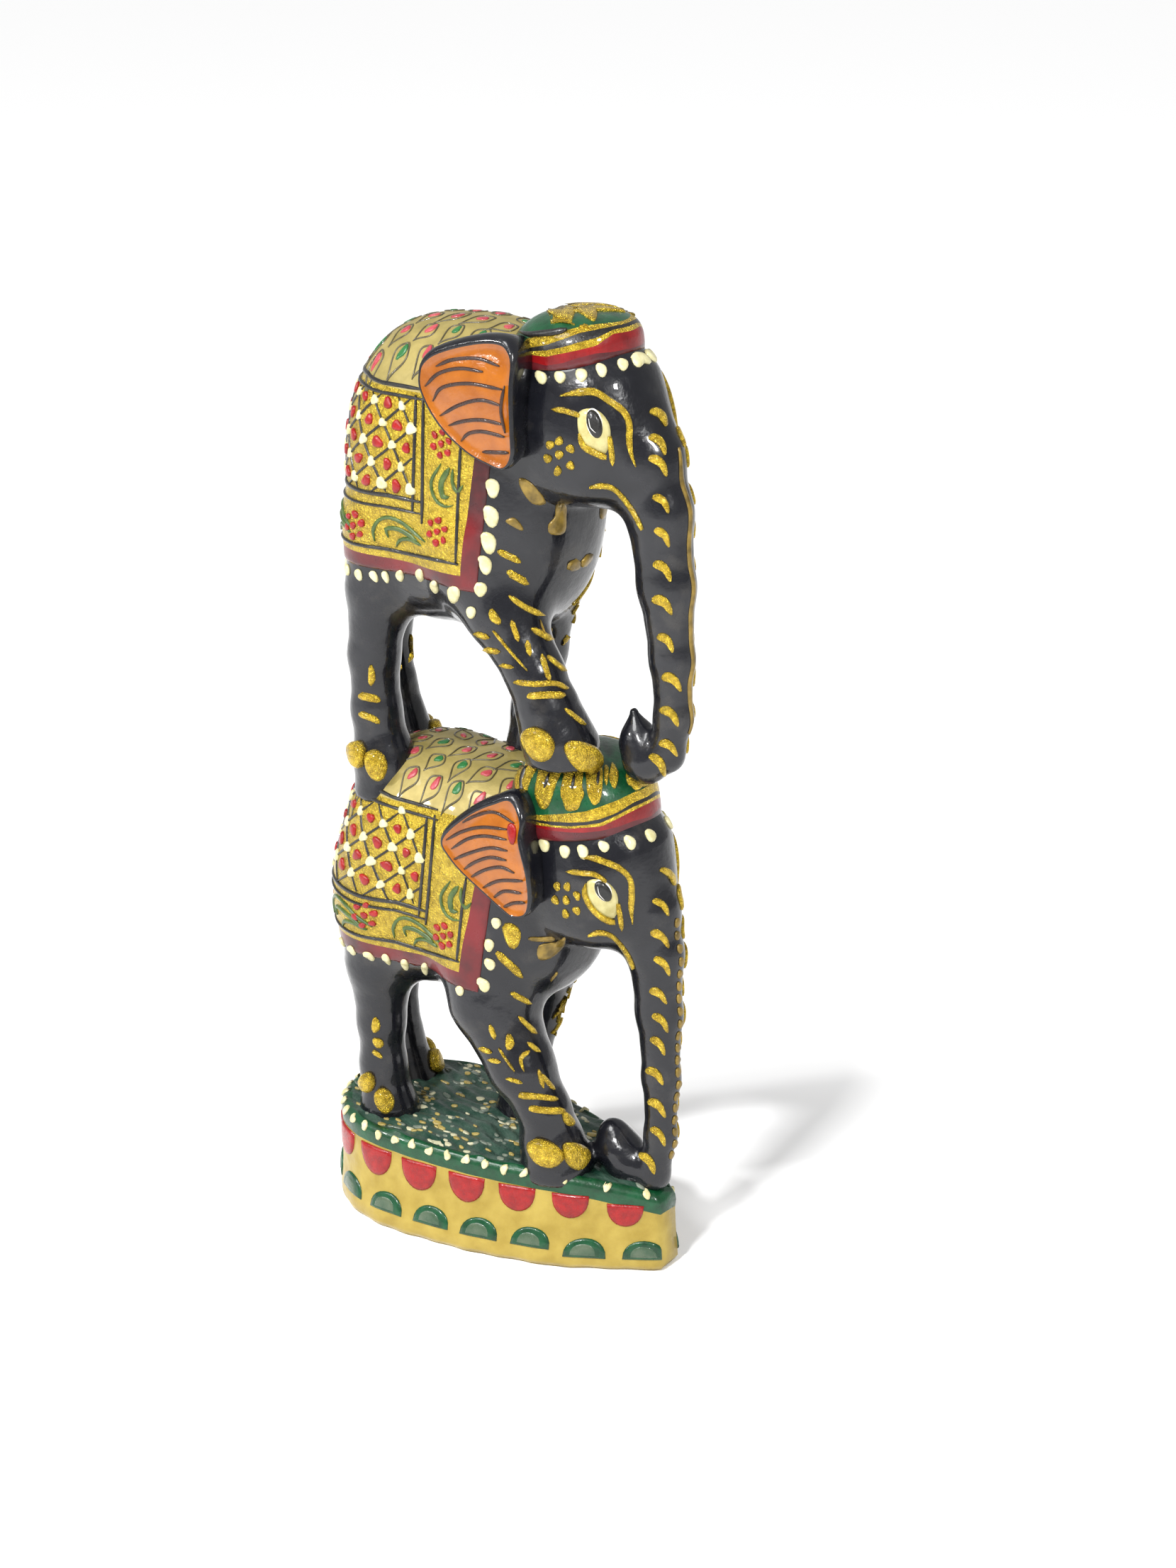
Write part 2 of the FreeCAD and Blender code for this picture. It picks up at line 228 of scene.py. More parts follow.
def limb(points, stations, squeeze=1.0):
    """Distance to a chain of (x, y, z, radius) balls; squeeze over one narrows it across."""
    stretched = points * np.array((1.0, squeeze, 1.0))
    best = None
    for start, end in zip(stations[:-1], stations[1:]):
        a = np.array(start[:3]) * np.array((1.0, squeeze, 1.0))
        b = np.array(end[:3]) * np.array((1.0, squeeze, 1.0))
        along = np.clip((stretched - a) @ (b - a) / np.dot(b - a, b - a), 0.0, 1.0)
        gap = np.linalg.norm(stretched - a - along[:, None] * (b - a), axis=1)
        gap -= start[3] + along * (end[3] - start[3])
        best = gap if best is None else blend(best, gap, 1.5)
    return best


def blend(first, second, width):
    """Smooth union."""
    overlap = np.maximum(width - np.abs(first - second), 0.0) / width
    return np.minimum(first, second) - overlap * overlap * width * 0.25


LOWER = {
    "torso": [
        ((-15.8, 0, 60.8), (11.8, 13.4, 17.2), 2.4),
        ((-18.3, 0, 53.6), (12.8, 13.0, 13.0), 2.3),
        ((-8.0, 0, 60.0), (16.0, 13.8, 19.0), 2.6),
        ((3.0, 0, 60.5), (13.0, 13.0, 18.0), 2.4),
        ((3.8, 0, 54.0), (10.6, 11.0, 11.5), 2.2),
    ],
    "neck": [(4, 0, 64, 10.0), (14, 0, 66, 8.8)],
    "skull": [
        ((14.2, 0, 66.6), (12.4, 10.2, 11.6), 2.3),
        ((15.6, 0, 69.6), (12.2, 9.4, 9.0), 2.3),
        ((16.6, 0, 61.8), (9.6, 9.5, 7.2), 3.2),
    ],
    "jaw": [(13.0, 0, 61.5, 6.6), (20.5, 0, 60.2, 5.2)],
    "trunk": [
        (21.9, 0, 68.0, 8.3), (26.4, 0, 60.6, 5.7), (28.5, 0, 54.0, 4.5), (29.3, 0, 44.0, 3.7),
        (29.8, 0, 33.0, 3.0), (29.8, 0, 23.0, 2.5), (28.6, 0, 15.5, 2.6),
    ],
    "tip": [(28.2, 0, 16.0, 2.7), (23.4, 0, 16.4, 3.6), (21.3, 0, 18.6, 3.5), (20.6, 0, 20.8, 2.0)],
    "legs": {
        "front_right_leg": [(0.5, -7.0, 52.0, 7.2), (2.8, -7.8, 42.0, 6.9), (8.6, -8.2, 32.0, 5.2),
                            (12.4, -7.3, 25.0, 4.1), (13.2, -6.4, 19.4, 4.9), (13.5, -5.6, 16.0, 6.2)],
        "front_left_leg": [(2.8, 7.0, 52.0, 5.8), (2.3, 7.4, 42.0, 4.5), (-0.5, 7.4, 31.5, 3.6),
                           (-2.4, 7.0, 22.0, 3.6), (-2.6, 6.6, 13.0, 5.1)],
        "hind_right_leg": [(-18.8, -7.0, 50.5, 7.4), (-20.2, -8.0, 42.5, 5.6), (-20.2, -8.4, 32.0, 3.8),
                           (-20.2, -8.2, 24.0, 3.7), (-19.4, -7.8, 16.0, 4.6), (-19.0, -7.6, 12.0, 5.4)],
        "hind_left_leg": [(-21.0, 6.4, 52.0, 6.0), (-26.4, 6.2, 42.0, 4.0), (-28.4, 5.8, 31.5, 3.0),
                          (-27.6, 5.6, 22.0, 3.2), (-25.6, 5.6, 13.0, 5.0)],
    },
    "tail": [(-26.5, 0, 72.5, 1.2), (-30.6, 0, 63.0, 1.5), (-30.4, 0, 54.0, 1.5), (-28.0, 0, 46.0, 1.7)],
    "floor": 13.6,
    "soles": {},
    "ceiling": 82.0,
}

UPPER = {
    "torso": [
        ((-13.0, 0, 123.6), (12.3, 13.4, 21.4), 2.3),
        ((-6.0, 0, 125.0), (15.2, 13.8, 22.0), 2.4),
        ((2.0, 0, 125.6), (13.0, 13.0, 20.9), 2.4),
        ((2.3, 0, 117.0), (10.0, 11.0, 13.5), 2.2),
    ],
    "neck": [(2, 0, 134, 11.0), (12, 0, 137, 9.4)],
    "skull": [
        ((13.4, 0, 136.6), (11.8, 10.0, 11.6), 2.3),
        ((13.4, 0, 139.2), (11.8, 9.3, 8.9), 2.3),
        ((15.4, 0, 131.9), (9.6, 9.5, 7.2), 3.2),
    ],
    "jaw": [(12.0, 0, 131.0, 6.8), (20.0, 0, 130.0, 5.2)],
    "trunk": [
        (19.2, 0, 138.6, 8.5), (25.7, 0, 131.5, 6.1), (28.5, 0, 124.0, 5.1), (29.9, 0, 113.0, 4.4),
        (31.0, 0, 102.0, 3.4), (31.4, 0, 93.0, 2.9), (30.2, 0, 87.0, 2.8),
    ],
    "tip": [(30.0, 0, 87.0, 2.7), (26.6, 0, 85.4, 3.6), (25.2, 0, 88.0, 2.9), (24.2, 0, 92.2, 0.7)],
    "legs": {
        "front_right_leg": [(0.0, -7.0, 116.0, 7.8), (5.9, -7.8, 106.5, 5.7), (11.9, -8.2, 98.0, 4.3),
                            (13.8, -7.6, 92.6, 4.6), (15.0, -7.0, 88.4, 5.3), (15.4, -6.3, 86.4, 5.8)],
        "front_left_leg": [(3.2, 7.0, 116.0, 5.8), (3.2, 7.6, 107.0, 4.4), (1.4, 7.6, 96.0, 3.6),
                           (0.2, 7.2, 86.0, 3.8), (-0.2, 6.8, 74.0, 5.3)],
        "hind_right_leg": [(-16.6, -7.0, 116.0, 7.0), (-18.4, -8.0, 106.0, 5.1), (-19.6, -8.4, 95.0, 3.9),
                           (-19.6, -8.2, 86.0, 3.8), (-18.6, -7.8, 78.0, 4.6), (-18.0, -7.4, 73.0, 5.6)],
        "hind_left_leg": [(-18.0, 6.6, 116.0, 6.4), (-25.0, 6.4, 105.0, 3.8), (-28.0, 5.8, 94.0, 2.9),
                          (-27.2, 5.6, 85.0, 3.1), (-25.0, 5.6, 74.0, 5.0)],
    },
    "tail": [(-22.6, 0, 141.0, 1.3), (-26.8, 0, 131.0, 1.6), (-27.0, 0, 120.0, 1.6), (-24.8, 0, 110.0, 1.8)],
    "floor": 72.0,
    "soles": {"front_right_leg": 84.4},
    "ceiling": 151.0,
}


def body_field(points, figure):
    """Distance to the torso, neck and legs."""
    body = None
    for centre, radii, power in figure["torso"]:
        mass = egg(points, centre, radii, power)
        body = mass if body is None else blend(body, mass, 5.0)
    body = blend(body, limb(points, figure["neck"]), 4.0)
    for name, stations in figure["legs"].items():
        leg = np.maximum(limb(points, stations), figure["soles"].get(name, 0.0) - points[:, 2])
        body = blend(body, leg, 3.2)
    return body


def figure_field(points, figure):
    """Distance to one whole elephant without its ears and cap, cut off flat where it stands."""
    head = None
    for centre, radii, power in figure["skull"]:
        mass = egg(points, centre, radii, power)
        head = mass if head is None else blend(head, mass, 4.0)
    head = blend(head, limb(points, figure["jaw"], 0.85), 4.0)
    head = blend(head, limb(points, figure["trunk"], 1.18), 3.5)
    whole = blend(body_field(points, figure), head, 1.0)
    whole = blend(whole, limb(points, figure["tip"], 1.1), 1.4)
    whole = blend(whole, limb(points, figure["tail"]), 1.6)
    return np.maximum(whole, figure["floor"] - points[:, 2])


def surface_net(field, low, step):
    """Quads around every grid edge that crosses zero, one vertex in each crossed cell."""
    inside = field < 0.0
    sizes = np.array(field.shape)
    offsets = [(i, j, k) for i in (0, 1) for j in (0, 1) for k in (0, 1)]
    corner = {o: field[o[0]:sizes[0] - 1 + o[0], o[1]:sizes[1] - 1 + o[1], o[2]:sizes[2] - 1 + o[2]]
              for o in offsets}
    signs = sum((corner[o] < 0.0).astype(np.int8) for o in offsets)
    crossed = (signs > 0) & (signs < 8)
    cells = np.argwhere(crossed)
    number = -np.ones(crossed.shape, dtype=np.int64)
    number[crossed] = np.arange(len(cells))
    total = np.zeros((len(cells), 3))
    count = np.zeros(len(cells))
    for first in offsets:
        for axis in range(3):
            if first[axis]:
                continue
            second = tuple(1 if a == axis else first[a] for a in range(3))
            a = corner[first][crossed]
            b = corner[second][crossed]
            hit = (a < 0.0) != (b < 0.0)
            part = np.where(hit, a / np.where(hit, a - b, 1.0), 0.0)
            point = np.array(first, dtype=float)[None, :] + np.zeros((len(cells), 3))
            point[:, axis] += part
            total += np.where(hit[:, None], point, 0.0)
            count += hit
    vertices = (cells + total / count[:, None]) * step + low
    quads = []
    for axis in range(3):
        u, v = (axis + 1) % 3, (axis + 2) % 3
        near = inside[tuple(slice(0, -1) if a == axis else slice(1, -1) for a in range(3))]
        far = inside[tuple(slice(1, None) if a == axis else slice(1, -1) for a in range(3))]
        where = np.argwhere(near != far)
        flip = near[near != far]
        base = where + np.array([0 if a == axis else 1 for a in range(3)])
        ring = []
        for du, dv in ((0, 0), (1, 0), (1, 1), (0, 1)):
            cell = base.copy()
            cell[:, u] -= du
            cell[:, v] -= dv
            ring.append(number[cell[:, 0], cell[:, 1], cell[:, 2]])
        ring = np.stack(ring, axis=1)
        ring[~flip] = ring[~flip][:, ::-1]
        quads.append(ring)
    return vertices, np.concatenate(quads)


def settle(vertices, field, rounds=3):
    """Move the vertices onto the zero surface of the field."""
    reach = 0.05
    for _ in range(rounds):
        value = field(vertices)
        slope = np.stack([(field(vertices + step) - field(vertices - step)) / (2 * reach)
                          for step in np.eye(3) * reach], axis=1)
        size = np.maximum(np.sum(slope * slope, axis=1), 0.05)
        move = -value[:, None] * slope / size[:, None]
        vertices = vertices + np.clip(move, -0.4, 0.4)
    return vertices


def carved_mesh(field, low, high, step):
    """Vertices and quads of the zero surface inside a box."""
    axes = [np.arange(low[a], high[a] + step, step) for a in range(3)]
    grid = np.stack(np.meshgrid(*axes, indexing="ij"), axis=-1)
    values = field(grid.reshape(-1, 3)).reshape(grid.shape[:3])
    vertices, quads = surface_net(values, np.array(low), step)
    return settle(vertices, field), quads


# ---------------------------------------------------------------- paint

EYE = np.array((266.1, -337.3, 240.0))  # where the right-hand marks are laid out from
MARK_DEPTH = 8.0  # how far out the upright plane of the marks stands
STRAY = 16.0  # a ray that lands farther than this from its mark has missed
FLANK = 13.6
RUMP_START = -15.0
RUMP_RADIUS = 13.0


def eye_on(side):
    return np.array((EYE[0], -side * EYE[1], EYE[2]))


class Canvas:
    """The outer surface of some pieces, to lay paint marks on."""

    def __init__(self, pieces):
        vertices = []
        polygons = []
        for piece in pieces:
            first = len(vertices)
            vertices.extend(vertex.co / MM for vertex in piece.data.vertices)
            polygons.extend([first + index for index in polygon.vertices]
                            for polygon in piece.data.polygons)
        self.tree = BVHTree.FromPolygons(vertices, polygons)

    def touch(self, origin, direction, lift, target):
        """The point where a ray meets the surface, raised by lift along the surface normal."""
        spot, normal, _, _ = self.tree.ray_cast(Vector(origin), Vector(direction))
        if spot is None or (spot - Vector(target)).length > STRAY:
            spot, normal, _, _ = self.tree.find_nearest(Vector(target))
        if normal.dot(Vector(direction)) > 0.0:
            normal = -normal
        return spot + normal * lift

    def seen(self, side, depth=MARK_DEPTH):
        """Marks given by x and z in an upright plane, laid on along the sight line from the eye.
        The left side gets the mirror image of the right."""
        eye = eye_on(side)

        def place(u, v, lift):
            target = np.array((u, side * depth, v))
            return self.touch(eye, target - eye, lift, target)
        return place

    def flank(self, side):
        """Marks given by the distance along the flank, which turns round the rump, and z."""
        eye = eye_on(side)

        def place(along, z, lift):
            turn = max(RUMP_START - along, 0.0) / RUMP_RADIUS
            target = np.array((max(along, RUMP_START) - RUMP_RADIUS * math.sin(turn),
                               side * FLANK * math.cos(turn), z))
            sight = (eye - target) / np.linalg.norm(eye - target)
            square = np.array((-math.sin(turn), side * math.cos(turn), 0.0))
            share = min(max((-12.0 - along) / 6.0, 0.0), 1.0)
            outward = sight * (1.0 - share) + square * share
            return self.touch(target + outward * 30.0, -outward, lift, target)
        return place

    def above(self, height):
        """Marks given by x and y, laid on from straight above, near a height."""
        def place(x, y, lift):
            return self.touch((x, y, 200.0), (0, 0, -1), lift, (x, y, height))
        return place


class Paint:
    """Raised marks of one colour, gathered into one mesh."""

    def __init__(self):
        self.vertices = []
        self.faces = []

    def blob(self, outline, place, height=0.45):
        """A drop of paint: an outline in the surface's own two coordinates, domed.
        A drop that would stretch over an edge of the surface is left out."""
        centre = np.mean(outline, axis=0)
        heart = place(*centre, 0.0)
        size = max(math.dist(centre, point) for point in outline)
        if any((place(u, v, 0.0) - heart).length > 2.5 * size + 0.5 for u, v in outline):
            return
        first = len(self.vertices)
        count = len(outline)
        rings = ((1.0, -0.25), (0.95, 0.55 * height), (0.76, 0.92 * height), (0.40, height))
        for scale, lift in rings:
            for point in outline:
                u, v = centre + (np.array(point) - centre) * scale
                self.vertices.append(place(u, v, lift))
        top = len(self.vertices)
        self.vertices.append(place(*centre, height))
        self.vertices.append(place(*centre, -0.5))
        for ring in range(len(rings) - 1):
            self.faces += ring_quads(first + ring * count, count)
        inner = first + (len(rings) - 1) * count
        for k in range(count):
            follow = (k + 1) % count
            self.faces.append((inner + k, inner + follow, top))
            self.faces.append((first + follow, first + k, top + 1))

    def ribbon(self, points, width, place, height=0.28, ends=(0.45, 0.45)):
        """A brush stroke along a curve; ends give how wide the two ends stay.
        A stroke that would jump from one surface to another is left out."""
        line = smooth_line(points, 0.55)
        count = len(line)
        first = len(self.vertices)
        section = ((-0.5, -0.2), (-0.36, 0.75 * height), (0.0, height), (0.36, 0.75 * height),
                   (0.5, -0.2), (0.0, -0.45))
        for k, point in enumerate(line):
            ahead = line[min(k + 1, count - 1)] - line[max(k - 1, 0)]
            across = np.array((-ahead[1], ahead[0])) / (np.linalg.norm(ahead) + 1e-9)
            part = k / (count - 1)
            swell = min(1.0, ends[0] + part * 5.0, ends[1] + (1.0 - part) * 5.0)
            for offset, lift in section:
                u, v = point + across * offset * width * swell
                self.vertices.append(place(u, v, lift))
        size = len(section)
        laid = self.vertices[first:]
        jumps = any((b - a).length > 2.0 for a, b in zip(laid, laid[size:]))
        widest = 0.7 * width + 1.2
        if jumps or any((a - b).length > widest for a, b in zip(laid[0::size], laid[2::size])):
            del self.vertices[first:]
            return
        for k in range(count - 1):
            self.faces += ring_quads(first + k * size, size)
        self.faces.append(tuple(first + m for m in reversed(range(size))))
        self.faces.append(tuple(first + (count - 1) * size + m for m in range(size)))

    def make(self, name, material):
        piece = make_object(name, self.vertices, self.faces, [material])
        face_outwards(piece)
        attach(piece, "root")
        return piece


def smooth_line(points, step):
    """Points about one step apart on a smooth curve through the given ones."""
    points = [np.array(point, dtype=float) for point in points]
    if len(points) == 2:
        points.insert(1, (points[0] + points[1]) / 2)
    padded = [2 * points[0] - points[1], *points, 2 * points[-1] - points[-2]]
    line = [points[0]]
    for a, b, c, d in zip(padded, padded[1:], padded[2:], padded[3:]):
        pieces = max(2, int(np.linalg.norm(c - b) / step))
        for k in range(1, pieces + 1):
            t = k / pieces
            line.append(0.5 * (2 * b + (c - a) * t + (2 * a - 5 * b + 4 * c - d) * t * t
                               + (3 * b - a - 3 * c + d) * t ** 3))
    return line


def smooth_loop(points, count):
    """A closed smooth curve through the points, with the given number of points."""
    points = np.array(points, dtype=float)
    loop = []
    for k in range(count):
        where = k / count * len(points)
        i = int(where)
        t = where - i
        a, b, c, d = (points[(i + m) % len(points)] for m in (-1, 0, 1, 2))
        loop.append(0.5 * (2 * b + (c - a) * t + (2 * a - 5 * b + 4 * c - d) * t * t
                           + (3 * b - a - 3 * c + d) * t ** 3))
    return loop


def spot(u, v, radius, stretch=1.0, turn=0.0, wobble=0.08):
    """The outline of a slightly uneven round or oval dot."""
    outline = []
    phase = RANDOM.uniform(0.0, 6.28)
    for k in range(14):
        angle = 2 * math.pi * k / 14
        reach = radius * (1.0 + wobble * math.sin(2 * angle + phase) + wobble * math.sin(3 * angle))
        a = reach * stretch * math.cos(angle)
        b = reach * math.sin(angle)
        outline.append((u + a * math.cos(turn) - b * math.sin(turn),
                        v + a * math.sin(turn) + b * math.cos(turn)))
    return outline


def rosette(paint, place, u, v, radius, pitch, height=0.4):
    """Six dots round one."""
    paint.blob(spot(u, v, radius, 1.0), place, height)
    for k in range(6):
        angle = math.radians(60 * k + 20)
        paint.blob(spot(u + pitch * math.cos(angle), v + pitch * 1.15 * math.sin(angle),
                        radius * RANDOM.uniform(0.85, 1.1), 1.15, RANDOM.uniform(0, 3)), place, height)


# ---------------------------------------------------------------- saddle cloths

CLOTH = {
    "upper": {
        "gold_front": ((5.0, 130.0), (3.2, 113.5)), "band_front": ((7.4, 130.0), (5.6, 111.0)),
        "gold_low": 113.3, "band_low": 110.9, "top": 139.2, "top_front": 9.5,
        "panel_front": ((-5.6, 139.0), (-6.8, 121.0)), "frame_front": ((-4.2, 139.0), (-5.0, 119.6)),
        "panel_low": (122.9, 121.1), "panel_top": (140.0, 138.5),
        "node": (-10.4, 130.8), "steep": (1.65, -3.15), "shallow": (3.75, 3.0),
        "line_front": ((2.7, 133.5), (2.1, 126.0), (1.3, 114.6)), "line_low": 114.5,
        "rosettes": ((-1.0, 132.4), (-2.1, 118.9), (-17.5, 117.4), (-31.0, 118.0)),
        "leaf": (0.0, 0.0), "scroll": (0.0, 0.0),
        "front_dots": ((8.5, 127.3, 1.4), (8.1, 123.0, 1.6), (7.6, 118.9, 1.6), (6.9, 115.4, 1.4),
                       (6.0, 111.5, 1.2), (0.9, 109.8, 1.25), (4.2, 107.6, 0.9)),
        "low_dots": ((-2.8, 110.3), (-5.6, 111.6), (-9.5, 110.8), (-12.4, 110.1), (-14.8, 109.7)),
        "low_row": 109.4,
    },
    "lower": {
        "gold_front": ((3.8, 61.4), (1.7, 49.0)), "band_front": ((6.8, 61.4), (5.0, 47.0)),
        "gold_low": 48.8, "band_low": 46.0, "top": 73.5, "top_front": 9.5,
        "panel_front": ((-5.2, 72.8), (-7.3, 55.6)), "frame_front": ((-3.6, 73.4), (-5.9, 54.4)),
        "panel_low": (56.7, 55.3), "panel_top": (74.4, 72.7),
        "node": (-10.6, 62.4), "steep": (1.65, -3.6), "shallow": (3.7, 3.0),
        "line_front": ((2.4, 64.5), (1.6, 60.0), (0.2, 49.8)), "line_low": 49.8,
        "rosettes": ((-2.4, 53.4), (-17.0, 53.6), (-30.0, 53.5)),
        "leaf": (0.3, -66.3), "scroll": (1.6, -65.0),
        "front_dots": ((8.2, 58.4, 0.95), (6.7, 54.3, 1.05), (6.8, 51.1, 1.05), (5.5, 47.2, 1.25),
                       (0.8, 44.9, 0.8), (-3.1, 45.0, 0.9)),
        "low_dots": ((-6.3, 46.8), (-10.4, 46.4), (-14.2, 46.3)),
        "low_row": 46.2,
    },
}
LEAF_STROKES = (
    (((-1.1, 129.4), (-3.0, 126.4), (-2.4, 123.9), (-0.6, 123.0), (1.0, 123.4)), 0.6),
    (((0.5, 129.0), (-1.1, 126.6), (-0.9, 124.5), (0.3, 124.6)), 1.15),
    (((1.1, 128.9), (1.0, 126.9), (1.8, 125.6), (3.0, 126.8)), 0.7),
)
SCROLL_STROKES = (
    (((-13.9, 115.5), (-14.1, 117.2), (-13.2, 118.8), (-11.4, 119.5), (-8.8, 119.1), (-6.4, 117.9),
      (-4.4, 116.9)), 0.65),
    (((-11.5, 116.4), (-12.0, 117.6), (-10.0, 118.0), (-7.7, 117.5), (-6.0, 116.8)), 0.8),
    (((-10.0, 115.2), (-9.4, 116.3), (-7.4, 116.8), (-5.2, 116.2)), 0.7),
)


def cloth_plane(low, high):
    """A plane that holds a slanted line drawn on the flank, as a point and its normal."""
    (x0, z0), (x1, z1) = low, high
    return (x0, 0.0, z0), Vector((z1 - z0, 0.0, x0 - x1)).normalized()


def saddle_cloth(tier, figure):
    """A thin raised shell over the back and flanks, its borders cut along the painted edges."""
    plan = CLOTH[tier]
    low = (-35.0, -18.0, plan["band_low"] - 2.0)
    high = (13.0, 18.0, figure["ceiling"] + 1.0)
    vertices, quads = carved_mesh(lambda points: body_field(points, figure) - 0.28, low, high, CELL)
    sheet = bmesh.new()
    rows = [sheet.verts.new(vertex) for vertex in vertices.tolist()]
    for quad in quads.tolist():
        sheet.faces.new([rows[index] for index in quad])
    gold_edge = cloth_plane(*plan["gold_front"])
    band_edge = cloth_plane(*plan["band_front"])
    cuts = [gold_edge, band_edge]
    cuts += [((0, 0, plan[key]), Vector((0, 0, 1))) for key in ("gold_low", "band_low", "top")]
    cuts.append(((plan["top_front"], 0, 0), Vector((1, 0, 0))))
    for place, normal in cuts:
        everything = sheet.verts[:] + sheet.edges[:] + sheet.faces[:]
        bmesh.ops.bisect_plane(sheet, geom=everything, plane_co=place, plane_no=normal, dist=0.02)

    def ahead(edge, centre):
        return (centre - Vector(edge[0])).dot(edge[1]) * (-1 if edge[1].x < 0 else 1) > 0.0

    sheet.faces.ensure_lookup_table()
    unwanted = []
    for face in sheet.faces:
        centre = face.calc_center_median()
        on_top = centre.z > plan["top"]
        front = centre.x > plan["top_front"] if on_top else ahead(band_edge, centre)
        if front or centre.z < plan["band_low"]:
            unwanted.append(face)
        elif on_top:
            face.material_index = 1
        elif ahead(gold_edge, centre) or centre.z < plan["gold_low"]:
            face.material_index = 2
    bmesh.ops.delete(sheet, geom=unwanted, context="FACES")
    sheet.normal_update()
    sheet.verts.index_update()
    count = len(sheet.verts)
    outer = []
    inner = []
    for vertex in sheet.verts:
        drop = 0.2 if vertex.is_boundary else 0.0
        outer.append(vertex.co - vertex.normal * drop)
        inner.append(vertex.co - vertex.normal * 0.8)
    faces = []
    slots = []
    for face in sheet.faces:
        ring = [vertex.index for vertex in face.verts]
        faces.append(tuple(ring))
        faces.append(tuple(count + index for index in reversed(ring)))
        slots += [face.material_index] * 2
    for edge in sheet.edges:
        if edge.is_boundary:
            loop = edge.link_loops[0]
            a, b = loop.vert.index, loop.link_loop_next.vert.index
            faces.append((b, a, count + a, count + b))
            slots.append(loop.face.material_index)
    sheet.free()
    piece = make_object(f"{tier}_saddle_cloth", outer + inner, faces, ["cloth", "back", "band"], slots)
    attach(piece, "root")
    return piece


PANEL_REAR = -33.5
LATTICE_WIDTH = 0.42


def panel_edge(plan, z):
    """How far forward the panel's slanted front line is at a height."""
    (s0, z0), (s1, z1) = plan["panel_front"]
    return s0 + (s1 - s0) * (z - z0) / (z1 - z0)


def panel_segment(start, end, plan):
    """The part of a lattice line inside the panel, or None."""
    low = plan["panel_low"][0]
    high = plan["panel_top"][1]
    kept = []
    for k in range(121):
        s = start[0] + (end[0] - start[0]) * k / 120
        z = start[1] + (end[1] - start[1]) * k / 120
        if low < z < high and PANEL_REAR < s < panel_edge(plan, z):
            kept.append((s, z))
    return [kept[0], kept[-1]] if len(kept) > 6 else None


def paint_panel_lines(plan, black, place):
    """The frames round the lattice panel and the fine line inside the cloth's border."""
    for z, width in zip(plan["panel_low"], (0.75, 0.5)):
        front = plan["frame_front"][1][0]
        black.ribbon([(s, z) for s in np.linspace(PANEL_REAR, front, 12)], width, place)
    for z, width in zip(plan["panel_top"], (0.75, 0.65)):
        front = plan["frame_front"][0][0] + 0.6
        black.ribbon([(s, z) for s in np.linspace(PANEL_REAR - 1, front, 12)], width, place)
    for key in ("panel_front", "frame_front", "line_front"):
        black.ribbon(plan[key], 0.6, place)
    front = plan["line_front"][-1][0] + 0.5
    black.ribbon([(s, plan["line_low"]) for s in np.linspace(-35.5, front, 12)], 0.6, place)


def paint_lattice(plan, colours, place):
    """Crossing lines with a cream drop on each crossing and a red one in each diamond."""
    node = np.array(plan["node"])
    steep = np.array(plan["steep"])
    shallow = np.array(plan["shallow"])
    for k in range(-8, 5):
        for step, run in ((shallow, 14 * steep), (steep, 9 * shallow)):
            line = panel_segment(node + k * step - run, node + k * step + run, plan)
            if line:
                colours["line"].ribbon(line, LATTICE_WIDTH, place, 0.22)
    low = plan["panel_low"][0]
    high = plan["panel_top"][1]
    for i in range(-14, 15):
        for j in range(-9, 6):
            s, z = node + i * steep + j * shallow
            front = panel_edge(plan, z)
            if PANEL_REAR < s < front + 0.3 and low + 0.6 < z < high + 0.4:
                radius = RANDOM.uniform(0.62, 0.85) + (0.25 if s > front - 1.5 else 0.0)
                colours["cream"].blob(spot(s, z, radius, 1.15, 1.3, 0.12), place, 0.42)
            s, z = node + (i + 0.5) * steep + (j + 0.5) * shallow
            if PANEL_REAR < s < panel_edge(plan, z) - 0.7 and low + 0.9 < z < high - 0.7:
                radius = RANDOM.uniform(0.72, 0.92)
                colours["red"].blob(spot(s, z, radius, 1.15, RANDOM.uniform(0, 3), 0.12), place, 0.42)


def paint_leaves(strokes, shift, paint, place):
    """Pointed leaf strokes, moved as a group."""
    for stroke, width in strokes:
        paint.ribbon([np.array(point) + shift for point in stroke], width, place, 0.3, (0.2, 0.2))


def paint_cloth(tier, colours, place, below):
    """Everything drawn on one flank of a saddle cloth, and the row of dots below it."""
    plan = CLOTH[tier]
    paint_panel_lines(plan, colours["line"], place)
    paint_lattice(plan, colours, place)
    for s, z in plan["rosettes"]:
        rosette(colours["red"], place, s, z, 0.55, 1.55, 0.35)
    paint_leaves(LEAF_STROKES, np.array(plan["leaf"]), colours["olive"], place)
    for move in (0.0, -13.0):
        paint_leaves(SCROLL_STROKES, np.array(plan["scroll"]) + (move, 0.0), colours["olive"], place)
    for s, z, radius in plan["front_dots"]:
        colours["cream"].blob(spot(s, z, radius), below, 0.5)
    for s, z in plan["low_dots"]:
        colours["cream"].blob(spot(s, z, 0.95, 0.75, 0.5), below, 0.45)
    s = plan["low_dots"][-1][0] - 3.0
    while s > -34.0:
        colours["cream"].blob(spot(s, plan["low_row"], 0.9, 0.8, 0.4), below, 0.45)
        s -= 3.2


# ---------------------------------------------------------------- camera, light, floor

def aim(location, forward, right):
    """An object matrix that looks along forward with right to the right."""
    forward = Vector(forward).normalized()
    right = Vector(right).normalized()
    up = right.cross(forward)
    basis = Matrix((right, up, -forward)).transposed().to_4x4()
    return Matrix.Translation(Vector(location)) @ basis


